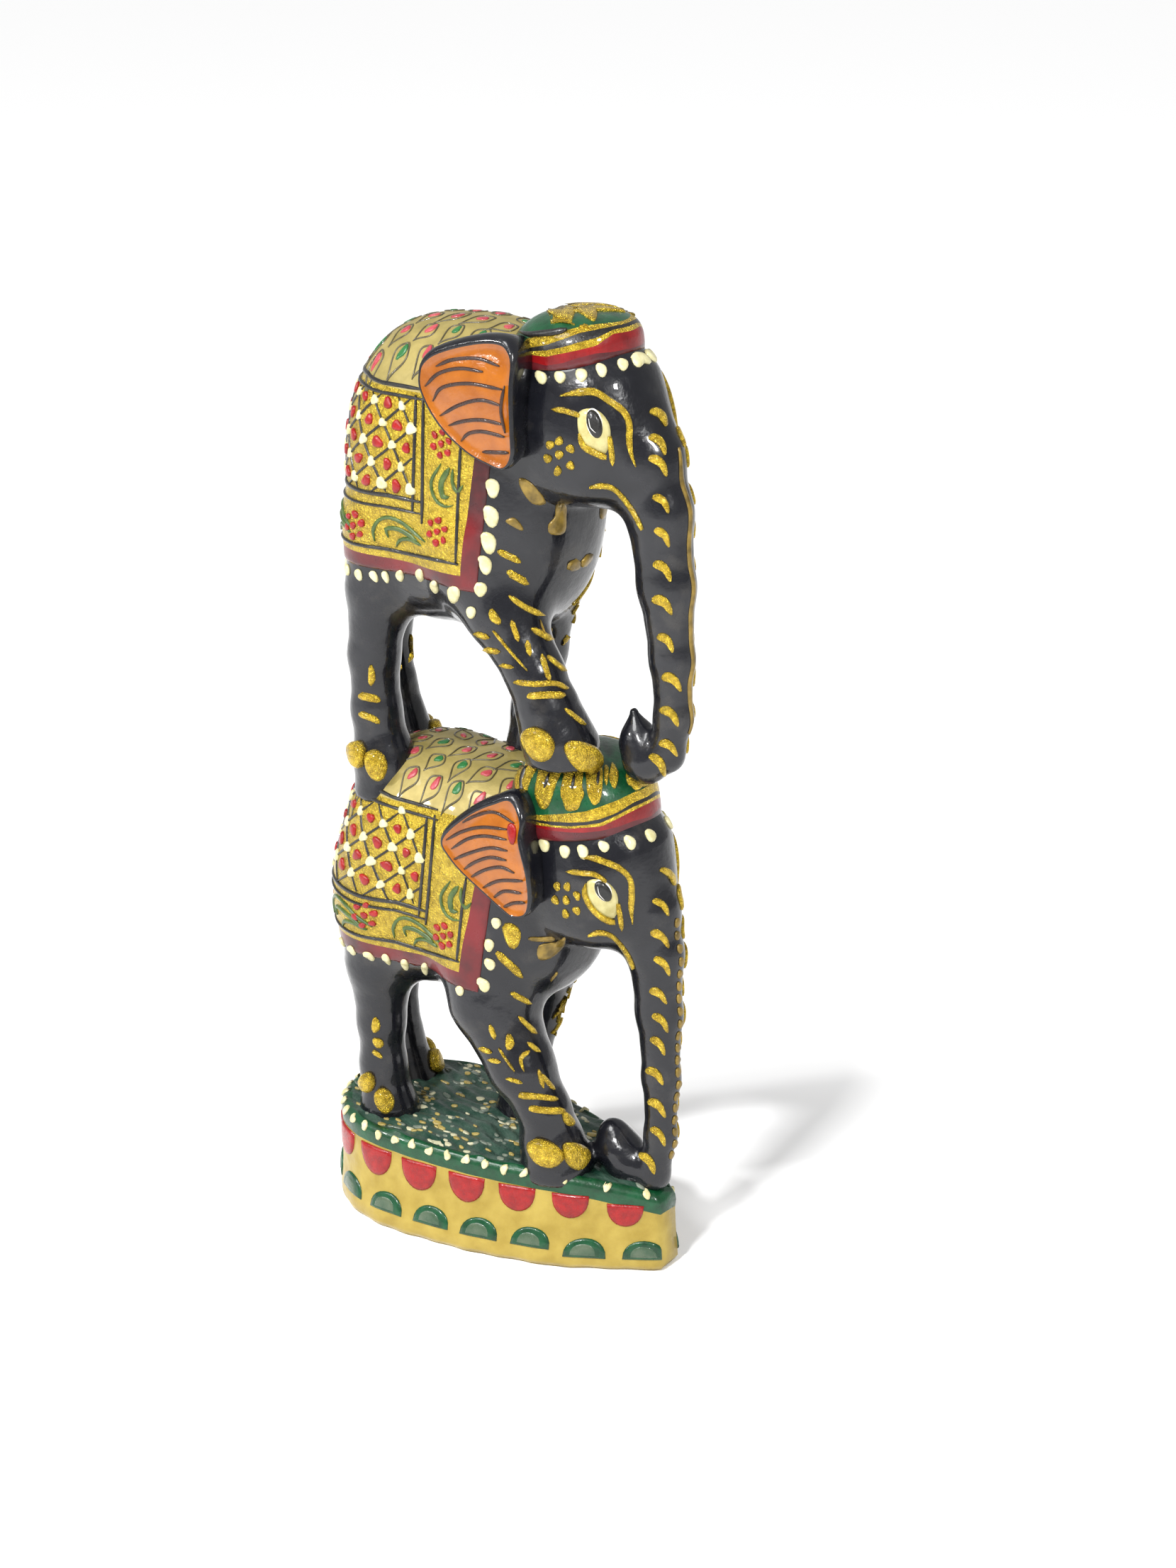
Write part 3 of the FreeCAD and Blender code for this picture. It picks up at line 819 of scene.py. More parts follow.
def add_camera():
    """Three-quarter view from the elephants' right front, from above."""
    data = bpy.data.cameras.new("camera")
    data.sensor_fit = "HORIZONTAL"
    data.sensor_width = 36.0
    data.lens = 90.0
    data.clip_start = 0.01
    camera = bpy.data.objects.new("camera", data)
    azimuth = math.radians(36.6)
    pitch = math.radians(-21.0)
    forward = Vector((-math.sin(azimuth) * math.cos(pitch), math.cos(azimuth) * math.cos(pitch),
                      math.sin(pitch)))
    right = (math.cos(azimuth), math.sin(azimuth), 0.0)
    camera.matrix_world = aim(EYE * MM, forward, right)
    bpy.context.scene.collection.objects.link(camera)
    bpy.context.scene.camera = camera


def add_area(name, location, target, size, power):
    data = bpy.data.lights.new(name, "AREA")
    data.shape = "RECTANGLE"
    data.size = size[0]
    data.size_y = size[1]
    data.energy = power
    lamp = bpy.data.objects.new(name, data)
    forward = (Vector(target) - Vector(location)).normalized()
    right = forward.cross(Vector((0, 0, 1))).normalized()
    lamp.matrix_world = aim(location, forward, right)
    bpy.context.scene.collection.objects.link(lamp)


def add_floor():
    mesh = bpy.data.meshes.new("floor")
    reach = 40.0
    mesh.from_pydata([(-reach, -reach, 0), (reach, -reach, 0), (reach, reach, 0), (-reach, reach, 0)],
                     [], [(0, 1, 2, 3)])
    material, _, _, bsdf = new_material("floor_paper")
    bsdf.inputs["Base Color"].default_value = (0.93, 0.93, 0.93, 1.0)
    bsdf.inputs["Roughness"].default_value = 0.9
    mesh.materials.append(material)
    floor = bpy.data.objects.new("floor", mesh)
    bpy.context.scene.collection.objects.link(floor)


def add_world():
    world = bpy.data.worlds.new("world")
    bpy.context.scene.world = world
    world.use_nodes = True
    background = world.node_tree.nodes["Background"]
    background.inputs["Color"].default_value = (1.0, 1.0, 1.0, 1.0)
    background.inputs["Strength"].default_value = 0.55


def add_sun():
    data = bpy.data.lights.new("daylight", "SUN")
    data.energy = 1.9
    data.angle = math.radians(20)
    lamp = bpy.data.objects.new("daylight", data)
    lamp.matrix_world = aim((0, 0, 1), (0.30, 0.62, -0.95), (0.90, -0.43, 0.0))
    bpy.context.scene.collection.objects.link(lamp)


def add_studio():
    bpy.context.scene.view_settings.view_transform = "Standard"
    add_camera()
    add_world()
    add_floor()
    add_sun()
    add_area("key", (0.08, -0.50, 0.50), (0.0, 0.0, 0.09), (0.08, 0.05), 4.0)
    add_area("side", (-0.42, -0.53, 0.42), (0.0, 0.0, 0.10), (0.05, 0.04), 2.2)
    add_area("front", (0.50, -0.25, 0.42), (0.0, 0.0, 0.08), (0.06, 0.10), 2.0)


# ---------------------------------------------------------------- caps and ears

# The painted bands are given by the heights of their edges at some stations along x, in the upright
# plane at MARK_DEPTH on the right, seen from EYE.
CAPS = {
    "upper": {
        "centre": (13.6, 144.6), "radii": (10.1, 9.4), "height": 7.4, "tilt": 0.10, "brow": 1.3,
        "box": (2.9, 0.8, 0.0), "stations": (8, 11, 14, 17, 20, 23, 26, 29, 31),
        "bands": ((145.8, 145.3, 145.0, 145.8, 147.0, 148.0, 148.6, 149.5, 150.4),
                  (146.3, 146.2, 146.3, 147.2, 148.1, 149.1, 151.2, 152.0, 152.2),
                  (146.6, 146.7, 147.2, 148.1, 149.2, 150.2, 151.8, 152.7, 153.0),
                  (146.9, 147.2, 148.0, 149.2, 150.5, 151.4, 152.3, 153.2, 153.3),
                  (148.2, 148.6, 149.4, 150.4, 151.4, 152.2, 152.8, 153.6, 153.7)),
        "petals": (((11.3, 150.2), (10.8, 150.9), (10.7, 151.5), (12.1, 152.2), (12.1, 151.3)),
                   ((13.8, 153.1), (15.4, 154.2), (17.6, 154.9), (19.3, 154.0), (18.9, 152.4), (18.5, 151.6),
                    (17.4, 152.0), (16.0, 152.3)),
                   ((19.4, 153.8), (19.9, 155.0), (22.6, 155.0), (23.2, 153.7), (22.9, 152.7),
                    (22.2, 152.5), (20.8, 153.1)),
                   ((23.3, 154.6), (24.0, 155.2), (25.6, 154.9), (26.5, 153.6), (24.8, 153.9))),
        "slits": (((9.6, 149.2), (11.2, 149.1), (13.2, 149.5), (15.5, 150.0), (17.9, 150.7)),),
        "slit_width": 0.9,
    },
    "lower": {
        "centre": (14.9, 72.8), "radii": (12.4, 10.6), "height": 12.2, "tilt": 0.14, "brow": 0.0,
        "box": (2.35, 0.1, 1.2), "stations": (9, 12, 15, 18, 21, 24, 27, 30, 33, 35),
        "bands": ((73.5, 73.2, 73.4, 73.9, 74.6, 75.6, 76.9, 78.6, 80.0, 81.4),
                  (74.0, 73.6, 74.0, 74.5, 75.4, 76.3, 78.2, 80.3, 82.3, 83.4),
                  (74.5, 74.1, 74.3, 74.9, 75.8, 76.9, 78.8, 80.9, 82.8, 83.9),
                  (74.6, 74.4, 74.9, 75.5, 76.3, 77.5, 79.2, 81.6, 83.4, 84.2),
                  (74.8, 75.3, 76.1, 77.0, 78.0, 79.5, 81.2, 83.2, 84.8, 85.6)),
        "petals": (((9.7, 84.8), (12.7, 84.2), (11.3, 81.8), (10.3, 79.5), (9.2, 75.8), (8.1, 76.9),
                    (7.7, 79.4), (7.9, 81.0)),
                   ((13.0, 84.4), (16.9, 84.5), (15.7, 81.4), (15.1, 79.7), (14.5, 78.0), (13.8, 76.8),
                    (12.8, 76.4), (11.9, 77.5), (11.5, 79.1), (12.1, 82.0)),
                   ((17.6, 84.6), (20.6, 85.2), (20.5, 82.2), (20.9, 80.7), (20.3, 79.4), (19.6, 77.9),
                    (17.6, 77.2), (16.9, 78.4), (16.3, 80.0), (16.9, 82.8)),
                   ((21.3, 85.2), (24.0, 85.9), (24.3, 83.8), (23.9, 80.6), (22.6, 79.3), (21.5, 80.7),
                    (21.2, 82.4)),
                   ((24.5, 86.0), (25.3, 86.0), (25.1, 83.3), (24.6, 83.6)),
                   ((26.0, 87.0), (27.1, 85.6), (26.8, 83.4), (26.2, 82.9), (25.4, 84.3), (25.6, 85.9)),
                   ((28.6, 86.0), (31.0, 87.0), (32.6, 84.9), (29.2, 84.0))),
        "slits": (((10.1, 82.7), (9.3, 81.1), (9.1, 79.6), (9.4, 77.9)), ((14.4, 82.5), (13.5, 80.0)),
                  ((19.1, 83.4), (18.6, 81.0)), ((23.5, 85.1), (23.2, 82.7))),
        "slit_width": 0.7,
    },
}
CAP_COLOURS = ("maroon", "crimson", "gold", "line", "gold", "green")
CROWN = len(CAP_COLOURS) - 1
CAP_AROUND = 120


def cap_point(plan, azimuth, part):
    """A point on the cap; part runs from nought at the rim to one at the crown."""
    square, ahead, aside = plan["box"]
    box = square + ahead * math.cos(azimuth) + aside * math.sin(azimuth) ** 2
    rise = math.sin(part * math.pi / 2) ** (2 / box)
    reach = max(math.cos(part * math.pi / 2), 0.0) ** (2 / box)
    x = plan["radii"][0] * math.cos(azimuth) * reach
    y = plan["radii"][1] * math.sin(azimuth) * reach
    rim = plan["tilt"] * x + plan["brow"] * max(math.cos(azimuth), 0.0) ** 3
    z = plan["centre"][1] + rim * (1.0 - rise) + plan["height"] * rise
    return plan["centre"][0] + x, y, z


def band_starts(plan, azimuth):
    """Where each painted band starts on the cap's profile at an azimuth, as parts of the profile."""
    side = 1.0 if math.sin(azimuth) > 0.0 else -1.0
    eye = eye_on(side)
    parts = np.linspace(0.0, 0.97, 160)
    points = np.array([cap_point(plan, azimuth, part) for part in parts])
    share = (side * MARK_DEPTH - points[:, 1]) / (eye[1] - points[:, 1])
    seen = points + (eye - points) * share[:, None]
    starts = [0.0]
    for edge in plan["bands"]:
        over = seen[:, 2] - np.interp(seen[:, 0], plan["stations"], edge)
        first = int(np.argmax(over > 0.0)) if (over > 0.0).any() else len(parts) - 1
        start = parts[first]
        if first > 0:
            start -= (parts[1] - parts[0]) * over[first] / (over[first] - over[first - 1])
        starts.append(float(min(max(start, starts[-1] + 0.004), 0.975)))
    return starts + [1.0]


def build_cap(tier):
    """A closed cap with a row of faces per step of its profile, coloured in bands."""
    plan = CAPS[tier]
    around = CAP_AROUND
    row_bands = []
    for band in range(len(CAP_COLOURS)):
        row_bands += [band] * (9 if band == CROWN else 3)
    vertices = []
    faces = []
    slots = []
    total = len(row_bands)
    azimuths = [2 * math.pi * (k + 0.5) / around for k in range(around)]
    starts = [band_starts(plan, azimuth) for azimuth in azimuths]
    for row, band in enumerate(row_bands):
        share = (row - row_bands.index(band)) / row_bands.count(band)
        for azimuth, edges in zip(azimuths, starts):
            part = edges[band] + (edges[band + 1] - edges[band]) * share
            wave = 1.0 + 0.004 * math.sin(5 * azimuth + 9 * part)
            x, y, z = cap_point(plan, azimuth, part)
            vertices.append((plan["centre"][0] + (x - plan["centre"][0]) * wave, y * wave, z))
    for row in range(total - 1):
        faces += ring_quads(row * around, around)
        slots += [row_bands[row]] * around
    crown = len(vertices)
    vertices.append(cap_point(plan, 0.0, 1.0))
    vertices.append((plan["centre"][0], 0.0, plan["centre"][1] - 1.0))
    hem = len(vertices)
    for k in range(around):
        x, y, z = vertices[k]
        vertices.append((plan["centre"][0] + (x - plan["centre"][0]) * 0.9, y * 0.9, z - 0.5))
    last = (total - 1) * around
    for k in range(around):
        follow = (k + 1) % around
        faces.append((last + k, last + follow, crown))
        faces.append((hem + k, hem + follow, follow, k))
        faces.append((hem + follow, hem + k, crown + 1))
        slots += [CROWN, 0, 0]
    piece = make_object(f"{tier}_painted_cap", vertices, faces, CAP_COLOURS, slots)
    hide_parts(f"{tier}_cap")
    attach(piece, "root")
    return piece


EARS = {
    "upper": {
        "outline": ((-3.9, 143.5), (-1.9, 145.0), (2.1, 146.5), (6.1, 147.5), (9.1, 147.7), (10.6, 147.0),
                    (11.5, 145.4), (11.6, 141.7), (11.8, 135.3), (11.8, 132.2), (10.4, 130.4),
                    (7.6, 130.8), (4.3, 131.8), (0.4, 134.1), (-2.4, 136.8), (-4.2, 139.8),
                    (-4.4, 142.0)),
        "stripes": (
            ((-1.7, 143.8), (1.4, 145.2), (6.1, 146.0), (10.0, 145.4)),
            ((-3.8, 140.6), (-1.3, 142.8), (2.7, 144.1), (7.0, 144.2)),
            ((-2.4, 138.6), (-0.7, 140.8), (4.2, 142.1), (10.4, 142.1)),
            ((-1.1, 136.6), (2.5, 138.7), (6.5, 140.0), (10.3, 139.7)),
            ((0.5, 135.4), (3.5, 136.5), (6.8, 137.1), (10.4, 137.0)),
            ((2.8, 133.4), (4.1, 134.7), (6.8, 135.4), (10.8, 135.2)),
            ((6.7, 132.4), (11.5, 133.0)),
            ((10.9, 142.7), (10.4, 140.8), (10.2, 138.7), (10.9, 135.8))),
        "patch": (8.4, 130.6, 0.7, 0.5),
    },
    "lower": {
        "outline": ((9.8, 78.1), (12.1, 75.7), (12.3, 72.8), (13.8, 68.6), (14.4, 64.4), (13.8, 61.6),
                    (11.6, 60.7), (10.0, 61.2), (6.9, 62.8), (1.8, 65.6), (-0.7, 67.6), (-1.9, 69.4),
                    (-0.3, 71.8), (3.5, 75.1), (7.0, 77.1)),
        "stripes": (
            ((1.8, 73.5), (4.6, 75.3), (8.1, 76.6), (11.9, 75.7)),
            ((-1.4, 69.8), (1.8, 72.0), (5.6, 73.6), (10.5, 74.4)),
            ((-0.4, 68.6), (2.8, 71.0), (6.2, 72.3), (10.4, 72.7)),
            ((-0.1, 66.9), (3.4, 68.9), (7.2, 70.6), (10.5, 70.9)),
            ((1.9, 65.7), (4.0, 67.4), (7.1, 69.0), (10.3, 69.3)),
            ((3.3, 64.8), (6.1, 66.7), (9.2, 67.9), (11.8, 67.6)),
            ((5.7, 63.7), (8.9, 65.6), (13.4, 66.7)),
            ((7.7, 62.5), (9.8, 64.1), (13.1, 64.6)),
            ((9.6, 61.4), (11.6, 62.6), (13.8, 63.2))),
        "patch": (11.4, 74.0, 0.95, 1.7),
    },
}
EAR_FACE = 15.3
EAR_SHIFT = (1.26, 0.81)


def build_ear(tier, side, name):
    """A teardrop slab with a raised black rim, thickest along the top, round an inset face."""
    plan = EARS[tier]
    loop = np.array(smooth_loop(plan["outline"], 72)) + np.array(EAR_SHIFT)
    if np.sum(loop[:, 0] * np.roll(loop[:, 1], -1) - np.roll(loop[:, 0], -1) * loop[:, 1]) < 0:
        loop = loop[::-1]
    centre = loop.mean(axis=0)
    ahead = np.roll(loop, -1, axis=0) - np.roll(loop, 1, axis=0)
    square = np.stack((ahead[:, 1], -ahead[:, 0]), axis=1)
    square /= np.linalg.norm(square, axis=1)[:, None]
    rim = 0.45 + 0.9 * np.clip(square[:, 1], 0, 1) ** 1.5 + 0.25 * np.clip(-square[:, 0], 0, 1)
    edge = loop + square * rim[:, None]
    rings = [
        (centre + (edge - centre) * 0.84, 7.5), (edge, 13.9), (loop + square * rim[:, None] * 0.93, 14.9),
        (loop + square * rim[:, None] * 0.55, 15.55), (loop + square * 0.08, 15.5),
        (centre + (loop - centre) * 0.97, 15.12), (centre + (loop - centre) * 0.80, EAR_FACE),
        (centre + (loop - centre) * 0.5, EAR_FACE + 0.1), (centre + (loop - centre) * 0.2, EAR_FACE + 0.12)]

    def lean(z):
        """How far the upper part of the ear slopes in towards the head."""
        return 0.022 * max(z - centre[1], 0.0) ** 2

    vertices = []
    faces = []
    slots = []
    count = len(loop)
    for points, depth in rings:
        vertices += [(x, side * (depth - lean(z)), z) for x, z in points]
    for ring in range(len(rings) - 1):
        quads = ring_quads(ring * count, count)
        faces += quads if side < 0 else [quad[::-1] for quad in quads]
        slots += [0 if ring < 4 else 1] * count
    middle = len(vertices)
    vertices.append((centre[0], side * (EAR_FACE + 0.14), centre[1]))
    vertices.append((centre[0], side * 7.0, centre[1]))
    inner = (len(rings) - 1) * count
    for k in range(count):
        follow = (k + 1) % count
        front = (inner + k, inner + follow, middle)
        back = (follow, k, middle + 1)
        faces += [front if side < 0 else front[::-1], back if side < 0 else back[::-1]]
        slots += [1, 0]
    piece = make_object(f"{tier}_{name}_painted", vertices, faces, ["black", "orange"], slots)
    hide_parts(f"{tier}_{name}")
    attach(piece, "root")
    return piece


# ---------------------------------------------------------------- plinth

PLINTH = {"rear_x": -15.2, "rear": 16.2, "side": 84.0, "tip_x": 31.4, "top": 15.6, "slope": 0.02,
          "lean": 0.06, "droop": 0.007, "band": 3.1}
REAR_HEART = -15.6  # x of the middle of the round rear, which marks are laid on from


def plinth_outline():
    """The leaf plan, from the tip along the right side, round the rear and back along the left."""
    offset = PLINTH["side"] - PLINTH["rear"]
    right = []
    for x in np.linspace(PLINTH["tip_x"], PLINTH["rear_x"], 60):
        right.append((x, offset - math.sqrt(PLINTH["side"] ** 2 - (x - PLINTH["rear_x"]) ** 2)))
    rear = []
    for angle in np.linspace(-90, -270, 62)[1:-1]:
        a = math.radians(angle)
        rear.append((PLINTH["rear_x"] + PLINTH["rear"] * math.cos(a), PLINTH["rear"] * math.sin(a)))
    left = [(x, -y) for x, y in reversed(right)]
    return right + rear + left


def plinth_top(x, y):
    """Height of the hand-cut top, which falls a little towards the tip and the left."""
    droop = PLINTH["droop"] * max(x - 15.0, 0.0) ** 2
    return PLINTH["top"] - PLINTH["slope"] * x - PLINTH["lean"] * y - droop


def build_plinth():
    """Gold wall, green rolled edge and gouged mossy top, as one closed mesh."""
    outline = np.array(plinth_outline())
    count = len(outline)
    ahead = np.roll(outline, -1, axis=0) - np.roll(outline, 1, axis=0)
    square = np.stack((-ahead[:, 1], ahead[:, 0]), axis=1)
    square /= np.linalg.norm(square, axis=1)[:, None]
    middle = np.clip((outline[:, 0] + 26.0) / 12.0, 0, 1) * np.clip((30.0 - outline[:, 0]) / 14.0, 0, 1)
    wear = np.array([0.25 * math.sin(0.9 * k) + 0.2 * math.sin(0.37 * k + 1.0) for k in range(count)])
    vertices = []
    slots = []
    faces = []
    wall = [(0.0, -0.9, 0.0), (0.35, 0.15, 1.0), (1.2, 0.55, 1.0), (3.0, 0.45, 0.9), (6.0, 0.15, 0.5),
            (9.0, 0.0, 0.15)]
    rows = [("wall", z, out, flare) for z, out, flare in wall]
    rows += [("band", -PLINTH["band"], 0.0, 0), ("band", -2.0, 0.12, 0), ("band", -1.0, 0.0, 0),
             ("band", -0.35, -0.35, 0), ("band", 0.0, -1.0, 0)]
    for kind, z, out, flare in rows:
        for k in range(count):
            reach = out + flare * 1.3 * middle[k] + (wear[k] * (0.6 if z < 0.6 and kind == "wall" else 0.15))
            x, y = outline[k] + square[k] * reach
            height = z if kind == "wall" else plinth_top(*outline[k]) + z
            height += 0.12 * wear[k] if z > 0 else 0.0
            vertices.append((x, y, max(height, 0.0)))
    levels = len(rows)
    heart = np.array((-4.0, 0.0))
    for scale in np.linspace(0.93, 0.04, 30):
        for k in range(count):
            x, y = heart + (outline[k] - heart) * scale
            gouge = (math.sin(2.6 * y + 0.5 * x + 2.0 * math.sin(0.35 * x)) * 0.16
                     + math.sin(1.1 * x + 0.7 * y) * 0.12 + math.sin(0.45 * x - 0.9 * y) * 0.18)
            vertices.append((x, y, plinth_top(x, y) + gouge - 0.15))
    total = len(vertices) // count
    for row in range(total - 1):
        faces += ring_quads(row * count, count)
        slots += [0 if row < len(wall) else (1 if row < levels else 2)] * count
    top = len(vertices)
    vertices.append((heart[0], 0.0, plinth_top(*heart)))
    vertices.append((heart[0], 0.0, 0.0))
    last = (total - 1) * count
    for k in range(count):
        follow = (k + 1) % count
        faces.append((last + k, last + follow, top))
        faces.append((follow, k, top + 1))
        slots += [2, 0]
    piece = make_object("painted_plinth", vertices, faces, ["wall", "green", "moss"], slots)
    face_outwards(piece)
    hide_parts("base_plinth")
    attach(piece, "root")
    return piece


def along_outline():
    """Maps a distance along the plinth's edge, from the tip on one side, to a point."""
    outline = np.array(plinth_outline())
    steps = np.linalg.norm(np.diff(outline, axis=0), axis=1)
    where = np.concatenate(([0.0], np.cumsum(steps)))

    def at(distance, side):
        x = np.interp(distance, where, outline[:, 0])
        return x, -side * np.interp(distance, where, outline[:, 1])
    return at


def wall_place(canvas, side):
    """Marks given by the distance along the plinth's edge and z."""
    at = along_outline()

    def place(distance, z, lift):
        x, y = at(distance, side)
        centre = np.array((min(max(x, REAR_HEART), 24.0), 0.0, z))
        target = np.array((x, y, z))
        outward = target - centre
        outward = outward / np.linalg.norm(outward)
        return canvas.touch(target + outward * 20.0, -outward, lift, target)
    return place


def half_disc(u, v, width, height):
    """A disc cut off flat; a negative height hangs it below its flat side."""
    outline = [(u - width / 2, v), (u - width / 4, v), (u, v), (u + width / 4, v), (u + width / 2, v)]
    for k in range(1, 12):
        angle = math.pi * k / 12
        outline.append((u + width / 2 * math.cos(angle), v + height * math.sin(angle) ** 0.8))
    return outline


def paint_wall(side, colours, place):
    """Red half discs hanging from the green edge, and green ones standing between them."""
    for k in range(8):
        centre = 5.6 + 8.8 * k
        top = plinth_top(max(32.0 - centre, -30.0), side * 12.0) - PLINTH["band"] - 0.1
        growth = min(k, 4)
        last_on_left = k == 7 and side > 0
        if not last_on_left:
            disc = half_disc(centre, top, 6.0 + 0.22 * growth, -(3.9 + 0.30 * growth))
            colours["red"].blob(disc, place, 0.4)
        low = 3.1 if k > 1 else 2.2
        colours["green"].blob(half_disc(centre - 3.0, low, 6.8, 3.3), place, 0.32)
        colours["fade"].blob(half_disc(centre - 2.8, low + 0.35, 4.6, 2.2), place, 0.40)


def paint_rim_dots(side, colours, place):
    """Cream dots along the green edge."""
    for k in range(22):
        distance = 2.0 + 3.35 * k
        top = plinth_top(max(32.0 - distance, -31.0), side * 12.0)
        if distance < 74.0:
            height = top - 0.75 + RANDOM.uniform(-0.2, 0.3)
            stretch = RANDOM.uniform(0.8, 1.1)
            dot = spot(distance, height, 0.68, stretch, RANDOM.uniform(0, 3), 0.15)
            colours["cream"].blob(dot, place, 0.4)


def paint_flecks(colours, place):
    """Short flecks scattered over the mossy top."""
    outline = np.array(plinth_outline())
    right_x = outline[:60, 0][::-1]
    right_y = outline[:60, 1][::-1]
    kinds = ("fleck_cream", "fleck_gold", "fleck_gold", "fleck_grey", "fleck_grey")
    made = 0
    while made < 330:
        x, y = RANDOM.uniform(-31, 30), RANDOM.uniform(-15.5, 15.5)
        if x > REAR_HEART:
            reach = abs(np.interp(x, right_x, right_y))
        else:
            reach = math.sqrt(max(PLINTH["rear"] ** 2 - (x - REAR_HEART) ** 2, 0.0))
        if abs(y) > reach - 1.9:
            continue
        made += 1
        length = RANDOM.uniform(0.55, 1.15)
        kind = RANDOM.choice(kinds)
        fleck = spot(x, y, length * 0.42, 2.1, RANDOM.uniform(-0.35, 0.45), 0.1)[::2]
        colours[kind].blob(fleck, place, 0.22)


def paint_plinth(plinth, colours):
    canvas = Canvas([plinth])
    for side in (-1, 1):
        place = wall_place(canvas, side)
        paint_wall(side, colours, place)
        paint_rim_dots(side, colours, place)
    paint_flecks(colours, canvas.above(PLINTH["top"]))


# ---------------------------------------------------------------- painted animals

CRESCENT = ((-1.75, 0.1), (-1.45, 0.85), (-0.5, 1.2), (0.55, 0.95), (1.35, 0.2), (1.7, -1.0),
            (1.45, -1.45), (0.9, -1.1), (0.1, -0.35), (-0.9, -0.15))
HEADS = {
    "upper": {
        "eye": ((19.9, 139.2), (21.8, 140.0), (23.8, 139.7), (25.3, 138.3), (25.6, 136.3), (24.8, 133.7),
                (22.8, 133.9), (20.8, 134.5), (19.9, 135.8), (19.6, 137.6)),
        "pupil": (22.7, 137.8, 1.45, 2.1),
        "brow": ((16.7, 141.0), (19.3, 141.8), (22.6, 142.4), (25.3, 141.5), (27.8, 140.3), (28.8, 138.6),
                 (28.8, 136.3), (29.2, 134.3), (30.0, 132.7)),
        "lash": ((15.2, 138.8), (17.4, 138.9), (20.1, 138.6)),
        "tear": ((25.3, 136.4), (25.7, 134.0), (25.9, 132.2)),
        "lid": ((20.0, 136.0), (20.8, 134.3), (22.8, 133.6), (24.8, 133.2)),
        "rosette": ((14.75, 133.5), (16.4, 134.3), (18.4, 133.5), (16.4, 132.3), (14.3, 131.4),
                    (16.1, 129.8), (18.4, 131.0)),
        "mouth": ((21.8, 128.3), (24.1, 128.9), (26.1, 128.8), (27.8, 127.7), (29.3, 126.3),
                  (30.3, 125.0), (31.2, 123.6)),
        "dots": ((10.1, 143.1), (13.2, 143.2), (16.6, 143.7), (20.4, 144.5), (23.9, 145.7), (27.6, 147.0),
                 (30.3, 148.1), (32.2, 149.5)),
        "crescents": ((28.2, 138.2), (28.1, 134.2), (28.2, 131.1), (28.8, 125.5), (29.1, 120.5),
                      (29.2, 115.4), (29.2, 110.2), (29.9, 104.5), (31.0, 98.6), (30.7, 93.2),
                      (30.5, 88.1), (28.7, 85.1)),
        "ridge": (134.0, 91.0),
        # Gold patches on the cheek under the ear, drawn in the darker gold as painted shade.
        "shaded_gold": (((9.0, 127.7), (11.4, 127.2), (14.0, 124.7), (11.4, 124.1), (9.3, 126.0)),
                 ((6.3, 120.7), (8.1, 121.5), (9.7, 120.2), (9.3, 119.7), (7.6, 120.1)),
                 ((15.8, 124.8), (17.6, 125.1), (17.6, 123.3), (17.5, 121.2), (16.4, 120.2), (14.4, 120.1),
                  (14.3, 121.5), (15.5, 122.9))),
    },
    "lower": {
        "eye": ((21.4, 66.8), (23.0, 67.6), (25.2, 67.6), (26.9, 66.4), (27.3, 64.4), (26.6, 62.0),
                (24.6, 61.9), (22.7, 62.8), (21.6, 64.2), (21.2, 65.6)),
        "pupil": (24.4, 66.0, 1.65, 1.6),
        "brow": ((20.4, 70.4), (22.6, 70.8), (25.0, 70.7), (27.6, 70.3), (29.4, 69.0), (29.7, 66.6),
                 (29.6, 64.4), (29.9, 62.0)),
        "lash": ((17.5, 67.4), (20.3, 67.8), (22.9, 68.2), (25.0, 67.6)),
        "tear": ((27.1, 64.6), (27.6, 62.3), (27.9, 60.4)),
        "lid": ((21.2, 66.4), (21.0, 64.6), (22.2, 62.7), (24.4, 61.5), (26.6, 61.4)),
        "rosette": ((15.7, 64.5), (17.6, 64.9), (19.5, 63.9), (17.4, 62.6), (15.3, 62.1), (17.3, 60.3),
                    (19.4, 61.4)),
        "mouth": ((21.6, 57.8), (23.8, 58.9), (26.0, 58.9), (27.8, 57.8), (29.2, 56.3), (30.2, 54.6)),
        "dots": ((13.3, 70.7), (17.2, 70.6), (20.6, 71.4), (24.5, 73.2), (29.3, 75.0), (33.0, 77.0)),
        "crescents": ((30.7, 67.4), (29.4, 62.0), (29.3, 56.7), (29.8, 52.3), (29.1, 47.0), (29.6, 42.6),
                      (29.2, 38.5), (28.6, 33.1), (29.1, 27.7), (29.4, 22.8), (27.4, 17.4)),
        "ridge": (60.0, 20.0),
        # Gold patch on the cheek under the ear, drawn in the darker gold as painted shade.
        "shaded_gold": (((12.0, 53.6), (15.5, 55.2), (17.2, 56.4), (17.0, 54.9), (14.5, 52.2), (11.9, 51.2)),),
    },
}
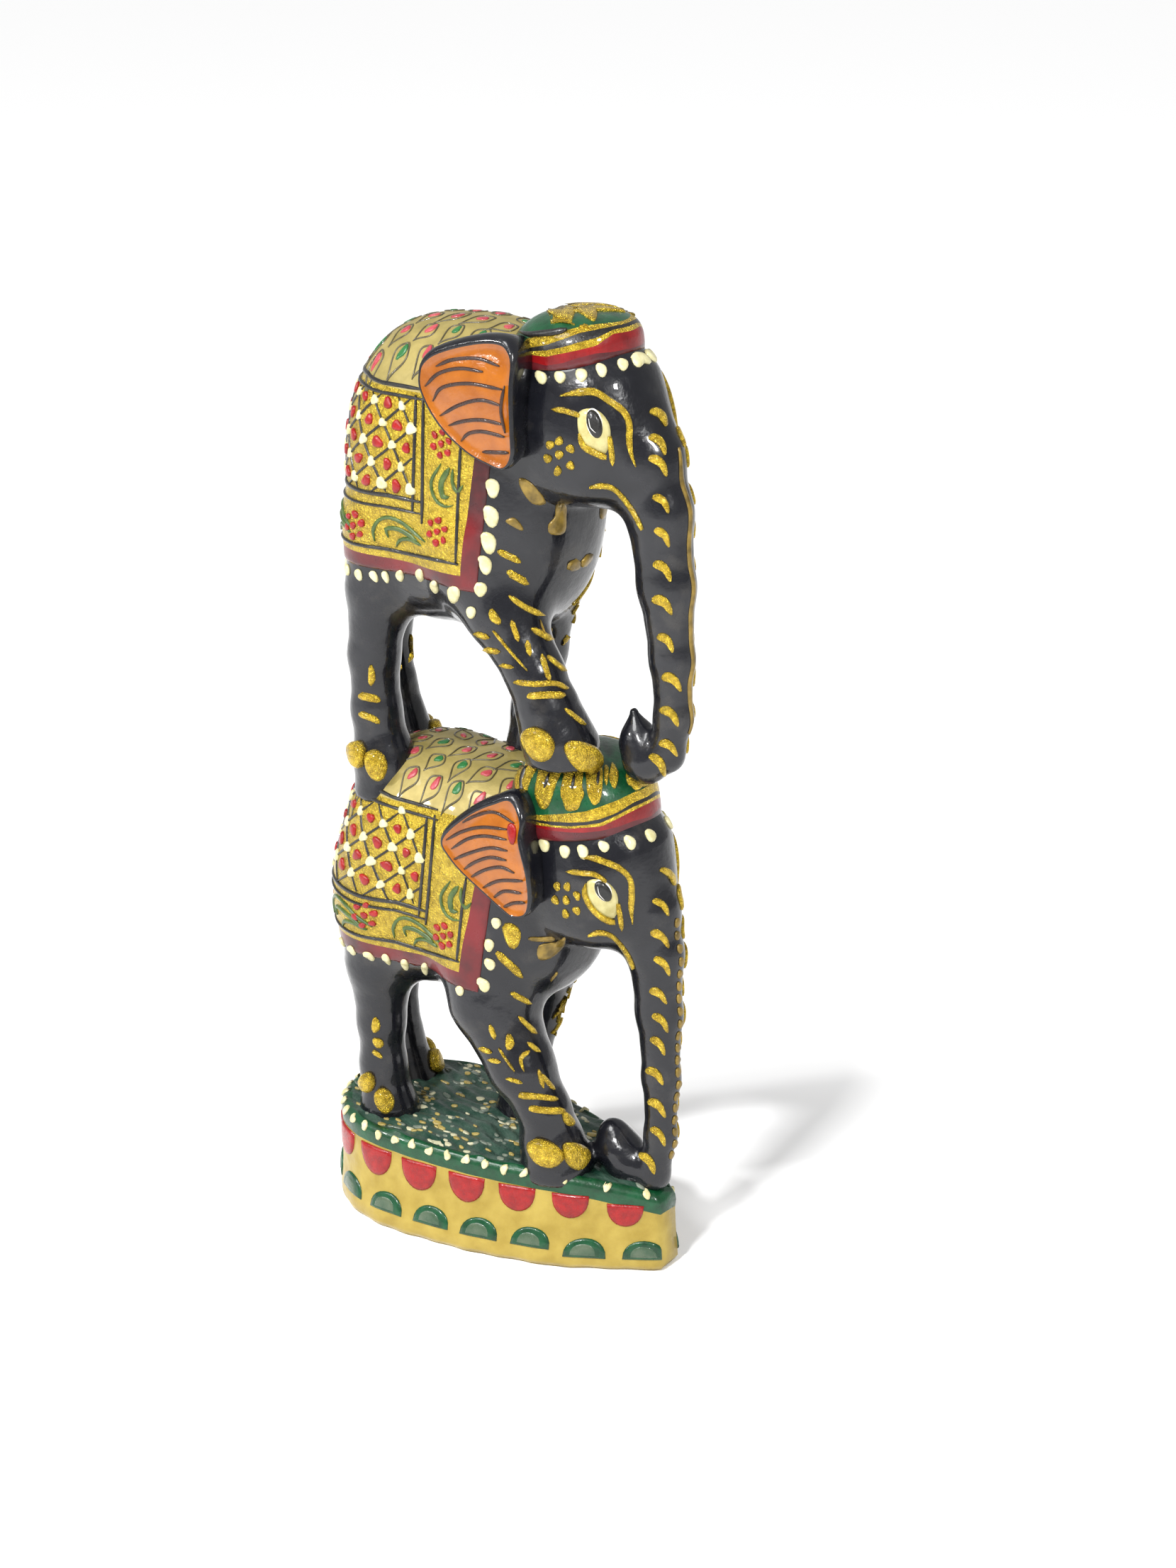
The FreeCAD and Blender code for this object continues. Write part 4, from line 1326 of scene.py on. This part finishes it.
# Leg marks on the right: strokes as (point, ..., width), drops as (x, z, radius, stretch, turn) and
# toes as (x, z, width, height). The far marks are on the inner faces of the left legs, drawn in the darker
# gold as painted shade.
LEG_MARKS = {
    "upper": {
        "strokes": (((4.8, 115.8), (9.2, 114.9), 1.3), ((6.5, 112.9), (10.6, 111.8), 1.5),
                    ((6.8, 109.2), (10.0, 108.0), (13.4, 107.4), 1.2), ((11.0, 104.9), (15.0, 103.9), 1.2),
                    ((13.9, 101.2), (17.4, 99.5), 0.9), ((0.2, 102.1), (3.1, 101.9), 1.0),
                    ((2.0, 99.9), (5.1, 100.0), 1.0), ((5.1, 98.0), (7.6, 98.1), 0.8),
                    ((3.8, 103.2), (6.8, 100.7), (10.3, 98.1), 0.55),
                    ((17.2, 93.6), (21.0, 91.8), 0.9), ((12.9, 101.2), (14.4, 97.3), 1.2),
                    ((10.2, 102.9), (10.8, 100.5), 1.3), ((7.3, 105.5), (8.6, 102.4), 1.3)),
        "bracelets": (((7.9, 95.9), (11.6, 96.3), (15.4, 97.2), (17.6, 96.8), 1.0),
                      ((10.3, 94.1), (13.7, 95.0), (17.1, 95.7), 1.3),
                      ((-23.2, 87.2), (-21.0, 87.3), (-19.0, 87.4), 1.5),
                      ((-23.2, 84.2), (-21.0, 84.0), (-19.2, 83.7), 1.3)),
        "drops": ((4.1, 105.4, 0.95, 1.4, -0.9), (-20.6, 91.1, 0.85, 1.9, 1.5)),
        "toes": ((12.5, 87.1, 3.0, 2.5), (20.4, 86.8, 3.5, 2.3), (-20.0, 76.4, 2.3, 2.5),
                 (-23.6, 77.4, 1.5, 2.2)),
        "left_toes": ((2.5, 76.0, 2.4, 2.2), (-3.0, 75.4, 2.4, 2.2), (-22.2, 76.5, 2.2, 2.1),
                      (-27.6, 75.8, 2.0, 2.0)),
        "far": (((20.3, 116.2), (22.2, 118.4), 1.2), ((20.2, 114.0), (22.2, 115.8), 1.2),
                ((18.6, 110.4), (21.2, 112.2), 1.2), ((17.2, 105.6), (19.6, 108.2), 1.2),
                ((-14.6, 84.0), (-12.4, 85.4), (-9.8, 86.2), 1.1)),
    },
    "lower": {
        "strokes": (((3.6, 50.2), (6.2, 48.8), (8.9, 47.4), 1.8), ((6.4, 43.9), (10.4, 43.3), 1.3),
                    ((7.9, 40.3), (11.4, 38.3), 1.2), ((9.6, 36.3), (12.1, 35.3), 1.1),
                    ((10.0, 34.9), (8.3, 33.0), (8.9, 31.0), 0.9), ((11.8, 32.2), (12.7, 29.2), 1.0),
                    ((12.2, 31.6), (14.9, 29.6), 1.1), ((0.0, 32.5), (2.5, 32.4), 1.0),
                    ((1.8, 31.0), (4.3, 31.2), 0.9), ((5.4, 28.7), (8.6, 28.9), 0.8),
                    ((3.9, 33.6), (5.4, 32.0), (7.1, 30.4), 0.55), ((2.1, 37.2), (3.2, 35.0), 1.3)),
        "bracelets": (((7.9, 26.5), (11.8, 27.4), (15.4, 28.1), 1.2),
                      ((10.0, 24.8), (13.6, 25.5), (16.8, 26.5), 1.4),
                      ((-22.6, 25.3), (-20.6, 24.8), 1.0)),
        "drops": ((6.1, 35.3, 1.0, 1.4, 1.5), (17.6, 25.2, 1.0, 1.4, -0.5), (-21.8, 30.3, 0.9, 1.7, 1.5),
                  (-21.4, 27.2, 0.95, 1.2, 0.0), (6.8, 54.0, 2.0, 1.0, 0.0)),
        "toes": ((13.2, 18.0, 3.5, 2.3), (18.9, 19.2, 2.6, 2.4), (-20.3, 17.0, 2.0, 2.4),
                 (-23.6, 19.4, 1.3, 1.9)),
        "left_toes": ((0.4, 17.0, 2.4, 2.2), (-5.2, 16.2, 2.4, 2.2), (-22.4, 17.4, 2.2, 2.1),
                      (-27.8, 16.8, 2.0, 2.0)),
        "far": (((17.4, 49.2), (20.4, 51.0), 1.2), ((15.9, 45.6), (18.7, 47.0), 1.2),
                ((13.3, 41.8), (16.3, 42.8), 1.3), ((12.3, 38.0), (14.9, 39.4), 1.2),
                ((10.0, 54.2), (12.6, 54.8), (15.2, 55.6), 0.8)),
    },
}


def trunk_x(figure, z):
    """How far forward the middle of the trunk is at a height."""
    stations = sorted(figure["trunk"], key=lambda station: station[2])
    heights = [station[2] for station in stations]
    return float(np.interp(z, heights, [station[0] for station in stations]))


def leaning_oval(u, v, wide, tall, lean):
    """An oval whose top leans back."""
    return [(u + wide * math.cos(a) - lean * math.sin(a), v + tall * math.sin(a))
            for a in np.linspace(0, 2 * math.pi, 22, endpoint=False)]


def paint_head(tier, colours, canvas, side):
    """Eye, face lines, dots and the trunk's crescents. The left side leaves out the two middle marks,
    which would run into their mirror images."""
    plan = HEADS[tier]
    place = canvas.seen(side)
    gold = colours["gold"]
    colours["ivory"].blob(smooth_loop(plan["eye"], 28), place, 0.4)
    u, v, wide, tall = plan["pupil"]
    colours["white"].blob(spot(u + 0.1, v - 0.1, 1.0, 1.0, 0.0, 0.0), place, 0.3)
    colours["white"].blob(leaning_oval(u, v, wide + 0.18, tall + 0.18, 0.25), place, 0.55)
    colours["line"].blob(leaning_oval(u, v, wide, tall, 0.35), place, 0.78)
    colours["white"].ribbon([(u - 0.95, v + 0.6), (u - 0.7, v - 0.6), (u + 0.2, v - 1.2)], 0.22, place, 0.95)
    gold.ribbon(plan["brow"], 1.3, place, 0.5, (0.2, 0.2))
    gold.ribbon(plan["lash"], 1.0, place, 0.55, (0.1, 0.7))
    gold.ribbon(plan["tear"], 1.2, place, 0.5, (0.7, 0.15))
    gold.ribbon(plan["lid"], 1.3, place, 0.6, (0.2, 0.5))
    gold.ribbon(plan["mouth"], 0.85, place, 0.4, (0.3, 0.6))
    for dot in plan["rosette"]:
        gold.blob(spot(*dot, 0.68, 1.05, RANDOM.uniform(0, 3), 0.1), place, 0.4)
    for dot in plan["dots"][:None if side < 0 else -1]:
        colours["cream"].blob(spot(*dot, RANDOM.uniform(0.9, 1.15)), place, 0.5)
    # The cheek patches under the ear get the darker gold: painted shade.
    for outline in plan["shaded_gold"]:
        colours["shaded_gold"].blob(smooth_loop(outline, 20), place, 0.3)
    middle = canvas.seen(side, 0.0)
    for u, v in plan["crescents"][0 if side < 0 else 1:]:
        turn = RANDOM.uniform(-0.25, 0.1)
        size = RANDOM.uniform(0.9, 1.1)
        bean = [(u + size * (p * math.cos(turn) - q * math.sin(turn)),
                 v + size * (p * math.sin(turn) + q * math.cos(turn))) for p, q in CRESCENT]
        gold.blob(smooth_loop(bean, 24), middle, 0.45)


def paint_ridge(tier, figure, colours, canvas):
    """The gold line down the front of the trunk, in the darker gold as painted shade; on the lower animal it
    is a row of beads.
    """

    def place(y, z, lift):
        return canvas.touch((60.0, y, z), (-1, 0, 0), lift, (trunk_x(figure, z) + 3.0, y, z))

    high, low = HEADS[tier]["ridge"]
    if tier == "upper":
        line = [(0.15 * math.sin(z), z) for z in np.linspace(high, low, 12)]
        colours["shaded_gold"].ribbon(line, 1.1, place, 0.3)
    else:
        z = high
        while z > low:
            colours["shaded_gold"].blob(spot(0.0, z, 0.62, 1.3, math.pi / 2), place, 0.35)
            z -= 2.1


def paint_legs(tier, colours, canvas, side):
    plan = LEG_MARKS[tier]
    place = canvas.seen(side)
    for stroke in plan["strokes"]:
        colours["gold"].ribbon(stroke[:-1], stroke[-1], place, 0.4, (0.25, 0.15))
    for stroke in plan["bracelets"]:
        colours["gold"].ribbon(stroke[:-1], stroke[-1], place, 0.5, (0.5, 0.5))
    for x, z, radius, stretch, turn in plan["drops"]:
        colours["gold"].blob(spot(x, z, radius, stretch, turn, 0.1), place, 0.5)
    for x, z, wide, tall in plan["toes" if side < 0 else "left_toes"]:
        colours["gold"].blob(smooth_loop(spot(x, z, tall, wide / tall, 0.0, 0.05), 28), place, 1.5)
    # The far marks sit in shade between the legs: the darker gold paints that shade.
    for stroke in plan["far"]:
        colours["shaded_gold"].ribbon(stroke[:-1], stroke[-1], place, 0.35, (0.3, 0.3))


def paint_cap(tier, cap, colours):
    plan = CAPS[tier]
    canvas = Canvas([cap])
    for side in (-1, 1):
        place = canvas.seen(side)
        for petal in plan["petals"]:
            colours["gold"].blob(smooth_loop(petal, 32), place, 0.35)
        for slit in plan["slits"]:
            colours["line"].ribbon(slit, plan["slit_width"], place, 0.5, (0.3, 0.2))


def paint_ear(tier, ear, colours, side):
    plan = EARS[tier]
    place = Canvas([ear]).seen(side, FLANK)
    for stripe in plan["stripes"]:
        colours["brown"].ribbon(stripe, 0.62, place, 0.22, (0.3, 0.4))
    u, v, wide, tall = plan["patch"]
    colours["red"].blob(spot(u, v, tall, wide / tall), place, 0.25)


def paint_back(tier, colours, canvas):
    """Teardrop petals on the top of the saddle cloth, each with a coloured drop in its round end."""
    place = canvas.above({"lower": 76.0, "upper": 145.0}[tier])
    for side in (-1, 1):
        for row, y in enumerate((2.9, 7.0, 10.6)):
            x = -25.5 + (row % 2) * 2.3
            while x < 7.5:
                turn = side * (-1.15 + RANDOM.uniform(-0.35, 0.35))
                ahead = np.array((math.cos(turn), math.sin(turn)))
                across = np.array((-ahead[1], ahead[0]))
                length = RANDOM.uniform(2.3, 2.9) - 0.35 * row
                heart = np.array((x, side * y))
                loop = []
                for k in range(17):
                    part = 1.0 - abs(k - 8) / 8
                    wide = 1.45 * math.sin(math.pi * part ** 1.6) * (1 if k < 8 else -1)
                    loop.append(heart + ahead * length * (2 * part - 1) + across * wide)
                colours["fineline"].ribbon(loop, 0.30, place, 0.16)
                kind = "magenta" if RANDOM.random() < 0.6 else "leafdrop"
                drop = heart + ahead * 0.9
                colours[kind].blob(spot(*drop, RANDOM.uniform(0.5, 0.7), 1.5, turn, 0.14), place, 0.22)
                x += RANDOM.uniform(4.3, 5.0)


# ---------------------------------------------------------------- build

def build_figure(tier, figure):
    low = (-35.0, -18.0, figure["floor"] - 1.2)
    high = (37.0, 18.0, figure["ceiling"] + 1.0)
    vertices, quads = carved_mesh(lambda points: figure_field(points, figure), low, high, CELL)
    skin = make_object(f"{tier}_figure", vertices.tolist(), quads.tolist(), ["black"])
    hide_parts(*[f"{tier}_{part}" for part in
                        ("body", "head", "trunk", "trunk_tip", "tail", "front_right_leg",
                         "front_left_leg", "hind_right_leg", "hind_left_leg")])
    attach(skin, "root")
    return skin


class Palette(dict):
    """Paint by colour name, made when a colour is first used."""

    def __missing__(self, colour):
        self[colour] = Paint()
        return self[colour]


def finish_palette(colours, prefix):
    for colour, paint in colours.items():
        paint.make(f"{prefix}_{colour}", colour)


MATERIALS.update(make_materials())
plinth = build_plinth()
plinth_colours = Palette()
paint_plinth(plinth, plinth_colours)
finish_palette(plinth_colours, "plinth")
for tier, figure in (("lower", LOWER), ("upper", UPPER)):
    skin = build_figure(tier, figure)
    cloth = saddle_cloth(tier, figure)
    cap = build_cap(tier)
    colours = Palette()
    paint_cap(tier, cap, colours)
    body_canvas = Canvas([skin, cloth])
    cloth_canvas = Canvas([cloth])
    for side, name in ((-1, "right_ear"), (1, "left_ear")):
        ear = build_ear(tier, side, name)
        paint_ear(tier, ear, colours, side)
        paint_cloth(tier, colours, cloth_canvas.flank(side), body_canvas.flank(side))
        paint_head(tier, colours, body_canvas, side)
        paint_legs(tier, colours, body_canvas, side)
    paint_ridge(tier, figure, colours, body_canvas)
    paint_back(tier, colours, cloth_canvas)
    finish_palette(colours, tier)
add_studio()
